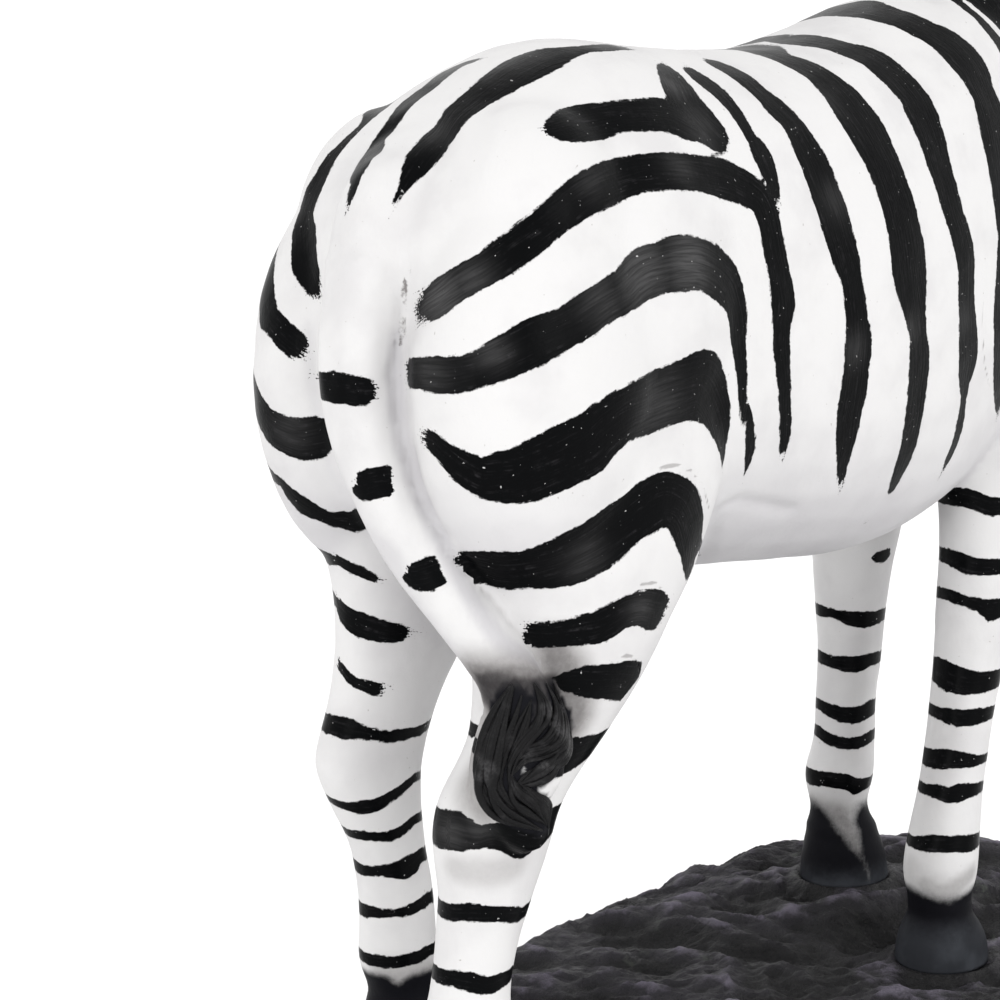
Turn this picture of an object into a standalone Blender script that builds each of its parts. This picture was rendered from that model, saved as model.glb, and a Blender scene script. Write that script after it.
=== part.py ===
import math

import bmesh
import bpy
from mathutils import Vector, noise

# Driving dimensions in metres
CROUP_HEIGHT = 0.1605      # level ground to the top of the rump
BASE_THICKNESS = 0.016     # underside of the base to the level ground
SEAT_GAP = 0.0003          # air between each hoof and its seat in the ground
SEAT_MARGIN = 0.006        # flat ground kept around each hoof
RIM_FRONT = 0.033          # ground in front of the foremost hoof
RIM_REAR = 0.014           # ground behind the rearmost hoof
RIM_SIDE_FRONT = 0.0285    # ground outside the fore hooves
RIM_SIDE_REAR = 0.016      # ground outside the hind hooves
RIM_FALL = 0.0035          # how far the ground drops at its edge
RIPPLE_HEIGHT = 0.001      # rise and fall of the open ground
# Hollows in the rim of the ground: (place in degrees from the front, depth as a share, spread in degrees)
RIM_HOLLOWS = ((103, 0.05, 12), (30, 0.04, 10), (160, 0.03, 10), (218, 0.035, 14), (262, 0.045, 12), (328, 0.04, 13))

# Proportions of the figure are in 160.5ths of the croup height, so one part is a millimetre at this size
PART = CROUP_HEIGHT / 160.5
RING_POINTS = 28
FIGURE_GRAIN = 1.5         # size of the cells that the joined masses are remade from
FIGURE_FACES = 7400        # triangles of the finished figure

# Ground plan of the stance: (x, y, level) of each hoof's middle
HOOVES = {
    "fore_left": (58.5, 16.0, 1.8),
    "fore_right": (44.0, -16.5, -3.5),
    "hind_left": (-63.5, 14.0, 0.0),
    "hind_right": (-76.0, -14.0, 0.0),
}
HOOF_HALF_LENGTH = 10.2
HOOF_HALF_WIDTH = 8.4
HOOF_CLEAR = 4.0           # open space around each hoof, kept free of the other masses

# Barrel: (x, back, belly, half width)
BARREL = [
    (-85.5, 133, 100, 11.0), (-81, 141.5, 92, 21.0), (-74, 149.2, 86, 25.0), (-64, 155.5, 81, 27.5),
    (-50, 160.3, 79, 29.0), (-34, 160.0, 78.5, 29.0), (-18, 159.9, 77.0, 29.5), (0, 161.3, 75.5, 30.5),
    (18, 165.4, 74.5, 30.0), (36, 171.2, 76.5, 28.5), (52, 173.0, 82.5, 26.5), (66, 168.0, 94, 24.0),
    (78, 152.0, 100, 20.0), (86.5, 136.0, 109, 11.0),
]
# Neck: (crest x, crest z, throat x, throat z, half width)
NECK = [
    (34, 168, 82, 98, 22.0), (46, 175, 88, 112, 20.5), (59, 183, 92.5, 128, 18.0), (71, 193.5, 97, 144, 15.8),
    (82, 205, 101, 158, 14.0), (91, 214.5, 105, 170, 12.6), (97, 220, 110, 179, 11.5),
]
# Head: (brow x, brow z, jaw x, jaw z, half width)
HEAD = [
    (95, 217, 91, 195, 8.5), (101.5, 221, 94, 184, 11.6), (110, 216.5, 98.5, 179.5, 13.0), (117, 207.5, 106, 176, 12.0),
    (124, 196.5, 113, 172.5, 9.8), (131, 185.5, 119.5, 167.5, 8.1), (137, 176, 125, 162, 7.9),
    (141, 168.5, 130, 157.5, 7.6), (141, 162, 134, 157, 5.0),
]
# Fore limb: (height, outward, half length, half width)
FORE_LIMB = [
    (104, 13.0, 14.5, 10.5), (88, 13.4, 12.0, 9.6), (74, 14.0, 10.2, 8.0), (62, 14.4, 8.2, 7.0), (53, 14.8, 6.8, 6.3),
    (46, 15.0, 6.6, 6.1), (39, 15.3, 6.1, 5.8), (30, 15.6, 6.5, 6.0), (23.5, 15.9, 7.3, 6.7), (17, 16.0, 5.9, 5.5),
    (12, 16.0, 7.2, 6.8), (5, 16.0, 9.2, 7.9), (-4, 16.0, HOOF_HALF_LENGTH, HOOF_HALF_WIDTH),
]
FORE_LEAN = {
    "fore_left": (62, 60.0, 57.0, 56.3, 56.6, 56.7, 56.4, 56.5, 55.7, 55.9, 57.0, 58.0, 58.5),
    "fore_right": (62, 60.8, 58.0, 54.5, 51.8, 50.2, 48.3, 45.4, 42.4, 42.5, 43.2, 43.6, 44.0),
}
# The ground isn't level under the fore feet: how far each of their stations is let down
FORE_DROP = {
    "fore_left": (0, 0, 0, 0, 0, 0, 0, 0, 0, -0.3, -1.0, -1.6, -1.8),
    "fore_right": (0, 0, 0, 0, 0, 0, 0.5, 3.0, 9.0, 9.5, 7.5, 4.5, 3.5),
}
# Swells and dips of the ground: (x, y, rise, spread)
GROUND_SWELLS = ((66, 38, 2.8, 34), (46, -24, -3.6, 26), (-70, -2, -0.4, 30), (33, 46, -2.8, 10), (92, 10, 2.6, 17))
# Hind limb: (height, outward, half length, half width, turn of the section outwards in degrees)
HIND_LIMB = [
    (112, 14.5, 25.5, 14.5, 8), (98, 16.0, 25.0, 13.5, 10), (88, 16.8, 21.5, 12.4, 12), (78, 17.0, 17.6, 10.8, 14),
    (68, 17.0, 14.2, 9.0, 14), (60, 16.5, 11.6, 8.0, 10), (52, 15.6, 10.4, 7.4, 4), (45, 15.0, 8.6, 6.8, 0),
    (38, 14.6, 6.6, 5.8, 0), (30, 14.2, 6.0, 5.4, 0), (24, 14.0, 6.2, 5.6, 0), (19, 14.0, 7.0, 6.3, 0),
    (13.5, 14.0, 5.9, 5.6, 0), (9, 14.0, 7.4, 7.0, 0), (3, 14.0, 9.2, 8.0, 0),
    (-4, 14.0, HOOF_HALF_LENGTH, HOOF_HALF_WIDTH, 0),
]
HIND_LEAN = {
    "hind_left": (-57, -57.5, -58.0, -59.2, -62.3, -66.4, -70.6, -69.9, -68.0, -66.6, -66.4, -66.2, -65.2, -64.6, -64.0,
                  -63.5),
    "hind_right": (-57, -57.5, -58.5, -60.2, -63.3, -67.2, -73.8, -75.2, -76.0, -77.6, -78.6, -79.2, -78.2, -77.2, -76.5,
                   -76.0),
}
# Thickness of each hind leg against the sections above
HIND_GIRTH = {
    "hind_left": (1, 1, 1, 0.98, 0.96, 0.92, 0.95, 0.92, 0.95, 1.04, 1.03, 0.97, 0.97, 1, 1, 1),
    "hind_right": (1, 1, 1, 0.985, 0.97, 0.98, 1.01, 1.1, 1.12, 1.06, 1, 1, 1, 1, 1, 1),
}
# Muscle masses on each side: (x, outward, z, half length, half width, half height)
MUSCLES = [
    (-67.5, 16.5, 111, 21.0, 14.8, 31), (-49, 15.5, 121, 25, 15.0, 29), (-65.5, 13.8, 130, 16.6, 13.8, 20.6),
    (54, 14.0, 126, 21, 13.5, 34),
    (62, 15.0, 102, 14.5, 10.0, 17), (79, 9.0, 118, 10, 9.5, 17), (105, 6.8, 189, 9.5, 6.6, 11),
    (113.5, 10.4, 205, 3.2, 2.9, 2.8), (137, 5.2, 170, 3.6, 3.0, 4.0),
]
# Tail bone on the rump, then the tuft on the right hock: (x, y, z, half width, half thickness)
TAIL = [
    (-79, 0, 141, 6.5, 5.0), (-85.5, -0.5, 132, 6.0, 4.4), (-88.3, -2.2, 122.8, 5.6, 4.2), (-88.8, -1.4, 111.5, 5.3, 4.0),
    (-87, -4.2, 98.2, 4.7, 3.8), (-83.5, -10.2, 85.8, 4.2, 3.7), (-80, -17.4, 76.3, 4.2, 3.6),
    (-77.5, -21.7, 69.6, 4.8, 3.6), (-78, -23.2, 62.8, 6.6, 3.8), (-79, -23.3, 57.5, 6.8, 3.7),
    (-79.5, -23.8, 54, 5.0, 3.3), (-78.3, -24.8, 50.6, 3.8, 2.9), (-77, -25.6, 47.6, 2.4, 2.2),
]
# Mane: (crest x, crest z, height)
MANE = [
    (42, 172, 2.5), (52, 177.5, 8.0), (65, 187.5, 11.0), (78, 200, 12.5), (88, 211, 13), (96, 219.5, 13.0),
    (105, 221.5, 11.5), (112, 215.5, 6.0),
]
MANE_HALF_WIDTH = 3.2
# Each ear, from the highest point of the brow
EAR = {"behind": 4.5, "out": 8.0, "sunk": 9.0, "lean": 5.0, "splay": 8.0, "rise": 30.0,
       "half_width": 6.3, "half_thickness": 3.3}


def clear_scene():
    for item in list(bpy.data.objects):
        bpy.data.objects.remove(item, do_unlink=True)


def power(value, exponent):
    return math.copysign(abs(value) ** exponent, value)


def ring_at(centre, side, up, exponent=1.0):
    # Closed curve around a centre: an ellipse, or squarer with an exponent under one
    points = []
    for step in range(RING_POINTS):
        angle = 2 * math.pi * step / RING_POINTS
        points.append(centre + side * power(math.cos(angle), exponent) + up * power(math.sin(angle), exponent))
    return points


def loft(target, rings):
    # Closed body through the rings, with a pole at each end
    made = [[target.verts.new(point) for point in ring] for ring in rings]
    count = len(made[0])
    faces = []
    for near, far in zip(made, made[1:]):
        for step in range(count):
            after = (step + 1) % count
            faces.append(target.faces.new((near[step], near[after], far[after], far[step])))
    for ring in (made[0], made[-1]):
        pole = target.verts.new(sum((vert.co for vert in ring), Vector()) / count)
        for step in range(count):
            faces.append(target.faces.new((pole, ring[(step + 1) % count], ring[step])))
    bmesh.ops.recalc_face_normals(target, faces=faces)


def profile_loft(target, stations, exponent=1.0):
    # Stations give two points of the side view and a half width
    rings = []
    for top_x, top_z, low_x, low_z, half_width in stations:
        top = Vector((top_x, 0, top_z))
        low = Vector((low_x, 0, low_z))
        rings.append(ring_at((top + low) / 2, Vector((0, half_width, 0)), (top - low) / 2, exponent))
    loft(target, rings)


def add_barrel(target):
    profile_loft(target, [(x, back, x, belly, width) for x, back, belly, width in BARREL], 0.86)


def add_neck_and_head(target):
    profile_loft(target, NECK, 0.95)
    profile_loft(target, HEAD, 0.9)


def add_limb(target, name):
    side = 1 if name.endswith("left") else -1
    fore = name.startswith("fore")
    stations = FORE_LIMB if fore else HIND_LIMB
    lean = FORE_LEAN[name] if fore else HIND_LEAN[name]
    drops = FORE_DROP.get(name, [0] * len(stations))
    girths = HIND_GIRTH.get(name, [1] * len(stations))
    rings = []
    for station, x, drop, girth in zip(stations, lean, drops, girths):
        height, outward, half_length, half_width = station[:4]
        turn = math.radians(station[4]) if len(station) > 4 else 0.0
        centre = Vector((x, side * outward, height - drop))
        along = Vector((math.cos(turn), side * math.sin(turn), 0)) * half_length * girth
        across = Vector((-side * math.sin(turn), math.cos(turn), 0)) * half_width * girth
        rings.append(ring_at(centre, along, across))
    loft(target, rings)


def add_ball(target, centre, radii):
    rings = []
    for step in range(1, 12):
        angle = math.pi * step / 12
        spread = math.sin(angle)
        middle = Vector(centre) + Vector((0, 0, radii[2] * math.cos(angle)))
        rings.append(ring_at(middle, Vector((radii[0] * spread, 0, 0)), Vector((0, radii[1] * spread, 0))))
    loft(target, rings)


def add_muscles(target):
    for x, outward, z, half_length, half_width, half_height in MUSCLES:
        for side in (1, -1):
            add_ball(target, (x, side * outward, z), (half_length, half_width, half_height))


def add_tail(target):
    # The band's flat side faces away from the middle of the body
    rings = []
    for step, (x, y, z, half_width, half_thickness) in enumerate(TAIL):
        before = Vector(TAIL[max(step - 1, 0)][:3])
        after = Vector(TAIL[min(step + 1, len(TAIL) - 1)][:3])
        way = (after - before).normalized()
        outward = Vector((-1.0, y * 0.03, 0.1))
        outward = (outward - way * outward.dot(way)).normalized()
        across = way.cross(outward)
        rings.append(ring_at(Vector((x, y, z)), across * half_width, outward * half_thickness, 0.9))
    loft(target, rings)


def add_mane(target):
    rings = []
    for step, (x, z, height) in enumerate(MANE):
        before = MANE[max(step - 1, 0)]
        after = MANE[min(step + 1, len(MANE) - 1)]
        way = Vector((after[0] - before[0], 0, after[1] - before[1])).normalized()
        up = Vector((-way.z, 0, way.x))
        root = Vector((x, 0, z)) - up * 3.0
        tall = (height + 3.0) / 2
        rings.append(ring_at(root + up * tall, Vector((0, MANE_HALF_WIDTH, 0)), up * tall, 0.8))
    loft(target, rings)


def add_ears(target):
    brow_x, brow_z = max((station[:2] for station in HEAD), key=lambda point: point[1])
    for side in (1, -1):
        root = Vector((brow_x - EAR["behind"], side * EAR["out"], brow_z - EAR["sunk"]))
        tip = root + Vector((-EAR["lean"], side * EAR["splay"], EAR["rise"]))
        way = (tip - root).normalized()
        across = Vector((0.55, side * 0.8, 0))
        across = (across - way * across.dot(way)).normalized()
        through = way.cross(across)
        rings = []
        for step in range(9):
            share = step / 8
            swell = math.sin(math.pi * (0.18 + 0.78 * share)) ** 0.8
            rings.append(ring_at(root.lerp(tip, share), across * EAR["half_width"] * swell,
                                 through * EAR["half_thickness"] * max(swell, 0.35)))
        loft(target, rings)


def mesh_object(name, source):
    mesh = bpy.data.meshes.new(name)
    source.to_mesh(mesh)
    source.free()
    item = bpy.data.objects.new(name, mesh)
    bpy.context.scene.collection.objects.link(item)
    return item


def modified(item):
    # Mesh of the object with its modifiers worked out
    graph = bpy.context.evaluated_depsgraph_get()
    mesh = bpy.data.meshes.new_from_object(item.evaluated_get(graph))
    bpy.data.objects.remove(item, do_unlink=True)
    return mesh


def join_masses(masses, grain):
    # One skin around all the masses, softened where they meet
    item = mesh_object("masses", masses)
    skin = item.modifiers.new("skin", "REMESH")
    skin.mode = "VOXEL"
    skin.voxel_size = grain
    soft = item.modifiers.new("soft", "SMOOTH")
    soft.factor = 0.5
    soft.iterations = 7
    return modified(item)


def thin_out(mesh, faces_wanted):
    item = bpy.data.objects.new("dense", mesh)
    bpy.context.scene.collection.objects.link(item)
    triangles = sum(len(face.vertices) - 2 for face in mesh.polygons)
    fewer = item.modifiers.new("fewer", "DECIMATE")
    fewer.ratio = min(1.0, faces_wanted / triangles)
    return modified(item)


def cut_flat(target, level, inside):
    # Level cut through whatever the test picks, closed by a flat face
    chosen = [vert for vert in target.verts if inside(vert.co)]
    faces = {face for vert in chosen for face in vert.link_faces}
    edges = {edge for face in faces for edge in face.edges}
    cut = bmesh.ops.bisect_plane(target, geom=list(faces) + list(edges) + chosen, plane_co=(0, 0, level),
                                 plane_no=(0, 0, -1), clear_outer=True, dist=0.02)
    rim = [item for item in cut["geom_cut"] if isinstance(item, bmesh.types.BMEdge)]
    bmesh.ops.contextual_create(target, geom=rim)


def make_zebra():
    masses = bmesh.new()
    add_barrel(masses)
    add_neck_and_head(masses)
    for name in HOOVES:
        add_limb(masses, name)
    add_muscles(masses)
    add_tail(masses)
    add_mane(masses)
    add_ears(masses)
    mesh = thin_out(join_masses(masses, FIGURE_GRAIN), FIGURE_FACES)
    figure = bmesh.new()
    figure.from_mesh(mesh)
    for x, y, level in HOOVES.values():
        reach_x = HOOF_HALF_LENGTH + HOOF_CLEAR
        reach_y = HOOF_HALF_WIDTH + HOOF_CLEAR
        cut_flat(figure, level + SEAT_GAP / PART,
                 lambda co: abs(co.x - x) < reach_x and abs(co.y - y) < reach_y and co.z < level + reach_y)
    bmesh.ops.triangulate(figure, faces=figure.faces)
    for vert in figure.verts:
        vert.co = vert.co * PART + Vector((0, 0, BASE_THICKNESS))
    return mesh_object("zebra", figure)


def stance():
    # Ends and half widths that the hooves reach, in metres
    length = HOOF_HALF_LENGTH
    width = HOOF_HALF_WIDTH
    front = max(x for x, y, level in HOOVES.values()) + length
    rear = min(x for x, y, level in HOOVES.values()) - length
    fore = max(abs(y) for name, (x, y, level) in HOOVES.items() if name.startswith("fore")) + width
    hind = max(abs(y) for name, (x, y, level) in HOOVES.items() if name.startswith("hind")) + width
    return front * PART, rear * PART, fore * PART, hind * PART


def rim_point(angle):
    # Egg-shaped plan, wider under the fore hooves, with hollows worn into its edge
    front, rear, fore, hind = stance()
    front += RIM_FRONT
    rear -= RIM_REAR
    fore += RIM_SIDE_FRONT
    hind += RIM_SIDE_REAR
    middle = (front + rear) / 2
    reach = (front - rear) / 2
    x = power(math.cos(angle), 0.86) * reach
    share = (x / reach + 1) / 2
    width = hind + (fore - hind) * share * share * (3 - 2 * share)
    uneven = 1.0
    for place, depth, spread in RIM_HOLLOWS:
        away = math.remainder(angle - math.radians(place), 2 * math.pi)
        uneven -= depth * math.exp(-(away / math.radians(spread)) ** 2)
    return Vector((middle + x * uneven, power(math.sin(angle), 0.86) * width * uneven, 0))


def seat_weight(x, y):
    # One on the seats of the hooves, falling to zero on open ground, with the seat's level
    best = 0.0
    level = 0.0
    for hoof_x, hoof_y, hoof_level in HOOVES.values():
        reach_x = HOOF_HALF_LENGTH * PART + SEAT_MARGIN
        reach_y = HOOF_HALF_WIDTH * PART + SEAT_MARGIN
        away = math.hypot((x - hoof_x * PART) / reach_x, (y - hoof_y * PART) / reach_y)
        weight = max(0.0, min(1.0, (1.7 - away) / 0.7))
        if weight > best:
            best = weight
            level = hoof_level * PART
    return best * best * (3 - 2 * best), level


def ground_level(x, y):
    # Soft ripples across the ground, flat at the seats
    wave = math.sin(150 * x + 55 * y + 2.0 * math.sin(60 * y)) * 0.45 + math.sin(95 * y - 70 * x) * 0.35
    bumps = noise.noise(Vector((x * 60, y * 60, 1.5)))
    open_ground = (wave + bumps - 0.4) * RIPPLE_HEIGHT
    for swell_x, swell_y, rise, spread in GROUND_SWELLS:
        away = math.hypot(x / PART - swell_x, y / PART - swell_y) / spread
        open_ground += rise * PART * math.exp(-away * away)
    weight, level = seat_weight(x, y)
    return open_ground * (1 - weight) + level * weight


def make_base():
    spokes = 62
    hoops = 15
    target = bmesh.new()
    middle = target.verts.new((0, 0, BASE_THICKNESS + ground_level(0, 0)))
    rows = []
    for hoop in range(1, hoops + 1):
        share = hoop / hoops
        row = []
        for spoke in range(spokes):
            rim = rim_point(2 * math.pi * spoke / spokes)
            x = rim.x * share
            y = rim.y * share
            fall = max(0.0, (share - 0.9) / 0.1) ** 2 * RIM_FALL
            row.append(target.verts.new((x, y, BASE_THICKNESS + ground_level(x, y) - fall)))
        rows.append(row)
    for share, height in ((1.018, 0.45), (1.0, 0.12), (0.985, 0.0)):
        row = []
        for spoke in range(spokes):
            rim = rim_point(2 * math.pi * spoke / spokes)
            lump = 1 + 0.012 * noise.noise(Vector((rim.x * 90, rim.y * 90, height * 7))) * (height > 0)
            row.append(target.verts.new((rim.x * share * lump, rim.y * share * lump, BASE_THICKNESS * height)))
        rows.append(row)
    for near, far in zip(rows, rows[1:]):
        for spoke in range(spokes):
            after = (spoke + 1) % spokes
            target.faces.new((near[spoke], far[spoke], far[after], near[after]))
    for spoke in range(spokes):
        target.faces.new((middle, rows[0][spoke], rows[0][(spoke + 1) % spokes]))
    target.faces.new(list(reversed(rows[-1])))
    bmesh.ops.triangulate(target, faces=target.faces)
    bmesh.ops.recalc_face_normals(target, faces=target.faces)
    return mesh_object("base", target)


def paint(name, colour, roughness):
    material = bpy.data.materials.new(name)
    material.use_nodes = True
    shader = material.node_tree.nodes["Principled BSDF"]
    shader.inputs["Base Color"].default_value = (*colour, 1)
    shader.inputs["Roughness"].default_value = roughness
    return material


def finish(item, material):
    item.data.materials.clear()
    item.data.materials.append(material)
    for face in item.data.polygons:
        face.use_smooth = True
        face.material_index = 0


clear_scene()
finish(make_zebra(), paint("zebra", (0.80, 0.79, 0.78), 0.45))
finish(make_base(), paint("base", (0.035, 0.035, 0.037), 0.75))
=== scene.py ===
import math

import bmesh
import bpy
import numpy as np
from mathutils import Matrix, Vector, noise
from mathutils.bvhtree import BVHTree


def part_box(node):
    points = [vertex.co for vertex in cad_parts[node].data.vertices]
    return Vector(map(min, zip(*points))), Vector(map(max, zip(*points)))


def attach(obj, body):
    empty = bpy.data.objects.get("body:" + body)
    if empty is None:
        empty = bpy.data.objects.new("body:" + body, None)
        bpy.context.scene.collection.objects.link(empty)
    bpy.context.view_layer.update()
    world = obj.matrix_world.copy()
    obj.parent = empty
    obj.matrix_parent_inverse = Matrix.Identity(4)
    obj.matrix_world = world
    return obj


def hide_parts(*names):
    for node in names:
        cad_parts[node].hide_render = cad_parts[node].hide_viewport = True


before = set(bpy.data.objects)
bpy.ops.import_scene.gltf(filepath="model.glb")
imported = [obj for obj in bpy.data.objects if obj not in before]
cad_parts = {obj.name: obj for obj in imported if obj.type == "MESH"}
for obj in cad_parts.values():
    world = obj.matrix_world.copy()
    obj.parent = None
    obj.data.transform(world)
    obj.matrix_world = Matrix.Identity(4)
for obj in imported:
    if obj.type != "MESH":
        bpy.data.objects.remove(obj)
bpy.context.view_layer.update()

# Tables are in millimetres; the figure's heights are counted from level ground
mm = 0.001
groundHeight = 16.0

cameraView = {
    "place": (-0.2895, -0.2222, 0.1552),   # metres
    "yaw": 43.8,                           # degrees from +X towards +Y
    "pitchDown": 8.4,
    "lens": 77.65,
    "sensor": 36.0,
    "pictureWidth": 1000,                  # pixels; painted strokes are placed in these
}


def addObject(name, data):
    item = bpy.data.objects.new(name, data)
    bpy.context.scene.collection.objects.link(item)
    return item


def cameraAxes():
    yaw = math.radians(cameraView["yaw"])
    pitch = math.radians(cameraView["pitchDown"])
    ahead = Vector((math.cos(yaw) * math.cos(pitch), math.sin(yaw) * math.cos(pitch), -math.sin(pitch)))
    right = Vector((math.sin(yaw), -math.cos(yaw), 0))
    return right, right.cross(ahead), ahead


def addCamera():
    right, up, ahead = cameraAxes()
    data = bpy.data.cameras.new("camera")
    data.lens = cameraView["lens"]
    data.sensor_width = cameraView["sensor"]
    data.clip_start = 0.01
    item = addObject("camera", data)
    matrix = Matrix((right, up, -ahead)).transposed().to_4x4()
    matrix.translation = Vector(cameraView["place"])
    item.matrix_world = matrix
    bpy.context.scene.camera = item


# Proportions of the figure, the same as the solid's
figureShape = {
    "cell": 1.04,             # size of the cells that the skin is remade from
    "softening": 14,          # rounds of smoothing where the masses meet
    "ringPoints": 36,
    "hoofHalfLength": 10.2,
    "hoofHalfWidth": 8.4,
    "seatGap": 0.3,
    "muscleRings": 16,
    "earRings": 16,
    "maneSunk": 3.0,          # how deep the mane's root lies in the neck
    "barrelSquareness": 0.86, "neckSquareness": 0.95, "headSquareness": 0.9,
    "cutHalfLength": 14, "cutHalfWidth": 12.4, "cutAbove": 8,   # what is cut off flat round each hoof
    "rootReach": 17, "rootFront": -66, "rootRounds": 45,   # where and how long the tail's root is softened
}
hoofPlaces = {
    "foreLeft": (58.5, 16.0, 1.8),
    "foreRight": (44.0, -16.5, -3.5),
    "hindLeft": (-63.5, 14.0, 0.0),
    "hindRight": (-76.0, -14.0, 0.0),
}
# x, back, belly, half width
barrelStations = [
    (-85.5, 133, 100, 11.0), (-81, 141.5, 92, 21.0), (-74, 149.2, 86, 25.0), (-64, 155.5, 81, 27.5),
    (-50, 160.3, 79, 29.0), (-34, 160.0, 78.5, 29.0), (-18, 159.9, 77.0, 29.5), (0, 161.3, 75.5, 30.5),
    (18, 165.4, 74.5, 30.0), (36, 171.2, 76.5, 28.5), (52, 173.0, 82.5, 26.5), (66, 168.0, 94, 24.0),
    (78, 152.0, 100, 20.0), (86.5, 136.0, 109, 11.0),
]
# crest x and z, throat x and z, half width
neckStations = [
    (34, 168, 82, 98, 22.0), (46, 175, 88, 112, 20.5), (59, 183, 92.5, 128, 18.0),
    (71, 193.5, 97, 144, 15.8), (82, 205, 101, 158, 14.0), (91, 214.5, 105, 170, 12.6),
    (97, 220, 110, 179, 11.5),
]
# brow x and z, jaw x and z, half width
headStations = [
    (95, 217, 91, 195, 8.5), (101.5, 221, 94, 184, 11.6), (110, 216.5, 98.5, 179.5, 13.0),
    (117, 207.5, 106, 176, 12.0), (124, 196.5, 113, 172.5, 9.8), (131, 185.5, 119.5, 167.5, 8.1),
    (137, 176, 125, 162, 7.9), (141, 168.5, 130, 157.5, 7.6), (141, 162, 134, 157, 5.0),
]
# height, outward, half length, half width
foreLimbStations = [
    (104, 13.0, 14.5, 10.5), (88, 13.4, 12.0, 9.6), (74, 14.0, 10.2, 8.0), (62, 14.4, 8.2, 7.0),
    (53, 14.8, 6.8, 6.3), (46, 15.0, 6.6, 6.1), (39, 15.3, 6.1, 5.8), (30, 15.6, 6.5, 6.0),
    (23.5, 15.9, 7.3, 6.7), (17, 16.0, 5.9, 5.5), (12, 16.0, 7.2, 6.8), (5, 16.0, 9.2, 7.9),
    (-4, 16.0, figureShape["hoofHalfLength"], figureShape["hoofHalfWidth"]),
]
# x at each of these heights, and how much lower a bent leg hangs
foreLean = {
    "foreLeft": (62, 60.0, 57.0, 56.3, 56.6, 56.7, 56.4, 56.5, 55.7, 55.9, 57.0, 58.0, 58.5),
    "foreRight": (62, 60.8, 58.0, 54.5, 51.8, 50.2, 48.3, 45.4, 42.4, 42.5, 43.2, 43.6, 44.0),
}
foreDrop = {
    "foreLeft": (0, 0, 0, 0, 0, 0, 0, 0, 0, -0.3, -1.0, -1.6, -1.8),
    "foreRight": (0, 0, 0, 0, 0, 0, 0.5, 3.0, 9.0, 9.5, 7.5, 4.5, 3.5),
}
# height, outward, half length, half width, turn outwards in degrees
hindLimbStations = [
    (112, 14.5, 25.5, 14.5, 8), (98, 16.0, 25.0, 13.5, 10), (88, 16.8, 21.5, 12.4, 12),
    (78, 17.0, 17.6, 10.8, 14), (68, 17.0, 14.2, 9.0, 14), (60, 16.5, 11.6, 8.0, 10),
    (52, 15.6, 10.4, 7.4, 4), (45, 15.0, 8.6, 6.8, 0), (38, 14.6, 6.6, 5.8, 0), (30, 14.2, 6.0, 5.4, 0),
    (24, 14.0, 6.2, 5.6, 0), (19, 14.0, 7.0, 6.3, 0), (13.5, 14.0, 5.9, 5.6, 0), (9, 14.0, 7.4, 7.0, 0),
    (3, 14.0, 9.2, 8.0, 0), (-4, 14.0, figureShape["hoofHalfLength"], figureShape["hoofHalfWidth"], 0),
]
hindLean = {
    "hindLeft": (-57, -57.5, -58.0, -59.2, -62.3, -66.4, -70.6, -69.9, -68.0, -66.6, -66.4, -66.2, -65.2,
                 -64.6, -64.0, -63.5),
    "hindRight": (-57, -57.5, -58.5, -60.2, -63.3, -67.2, -73.8, -75.2, -76.0, -77.6, -78.6, -79.2, -78.2,
                  -77.2, -76.5, -76.0),
}
hindGirth = {
    "hindLeft": (1, 1, 1, 0.98, 0.96, 0.92, 0.95, 0.92, 0.95, 1.04, 1.03, 0.97, 0.97, 1, 1, 1),
    "hindRight": (1, 1, 1, 0.985, 0.97, 0.98, 1.01, 1.1, 1.12, 1.06, 1, 1, 1, 1, 1, 1),
}
# x, outward, z, half length, half width, half height
muscles = [
    (-67.5, 16.5, 111, 21.0, 14.8, 31), (-49, 15.5, 121, 25, 15.0, 29), (-65.5, 13.8, 130, 16.6, 13.8, 20.6),
    (54, 14.0, 126, 21, 13.5, 34), (62, 15.0, 102, 14.5, 10.0, 17), (79, 9.0, 118, 10, 9.5, 17),
    (105, 6.8, 189, 9.5, 6.6, 11), (113.5, 10.4, 205, 3.2, 2.9, 2.8), (137, 5.2, 170, 3.6, 3.0, 4.0),
]
# x, y, z, half width, half thickness
tailStations = [
    (-79, 0, 141, 6.5, 5.0), (-85.5, -0.5, 132, 6.0, 4.4), (-88.3, -2.2, 122.8, 5.6, 4.2),
    (-88.8, -1.4, 111.5, 5.3, 4.0), (-87, -4.2, 98.2, 4.7, 3.8), (-83.5, -10.2, 85.8, 4.2, 3.7),
    (-80, -17.4, 76.3, 4.2, 3.6), (-77.5, -21.7, 69.6, 4.8, 3.6), (-78, -23.2, 62.8, 6.6, 3.8),
    (-79, -23.3, 57.5, 6.8, 3.7), (-79.5, -23.8, 54, 5.0, 3.3), (-78.3, -24.8, 50.6, 3.8, 2.9),
    (-77, -25.6, 47.6, 2.4, 2.2),
]
# crest x and z, height
maneStations = [
    (42, 172, 2.5), (52, 177.5, 8.0), (65, 187.5, 11.0), (78, 200, 12.5), (88, 211, 13), (96, 219.5, 13.0),
    (105, 221.5, 11.5), (112, 215.5, 6.0),
]
maneHalfWidth = 3.2
earShape = {"behind": 4.5, "out": 8.0, "sunk": 9.0, "lean": 5.0, "splay": 8.0, "rise": 30.0,
            "halfWidth": 6.3, "halfThickness": 3.3, "swellFrom": 0.18, "swellSpan": 0.78, "thinnest": 0.35}


def power(value, exponent):
    return math.copysign(abs(value) ** exponent, value)


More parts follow.
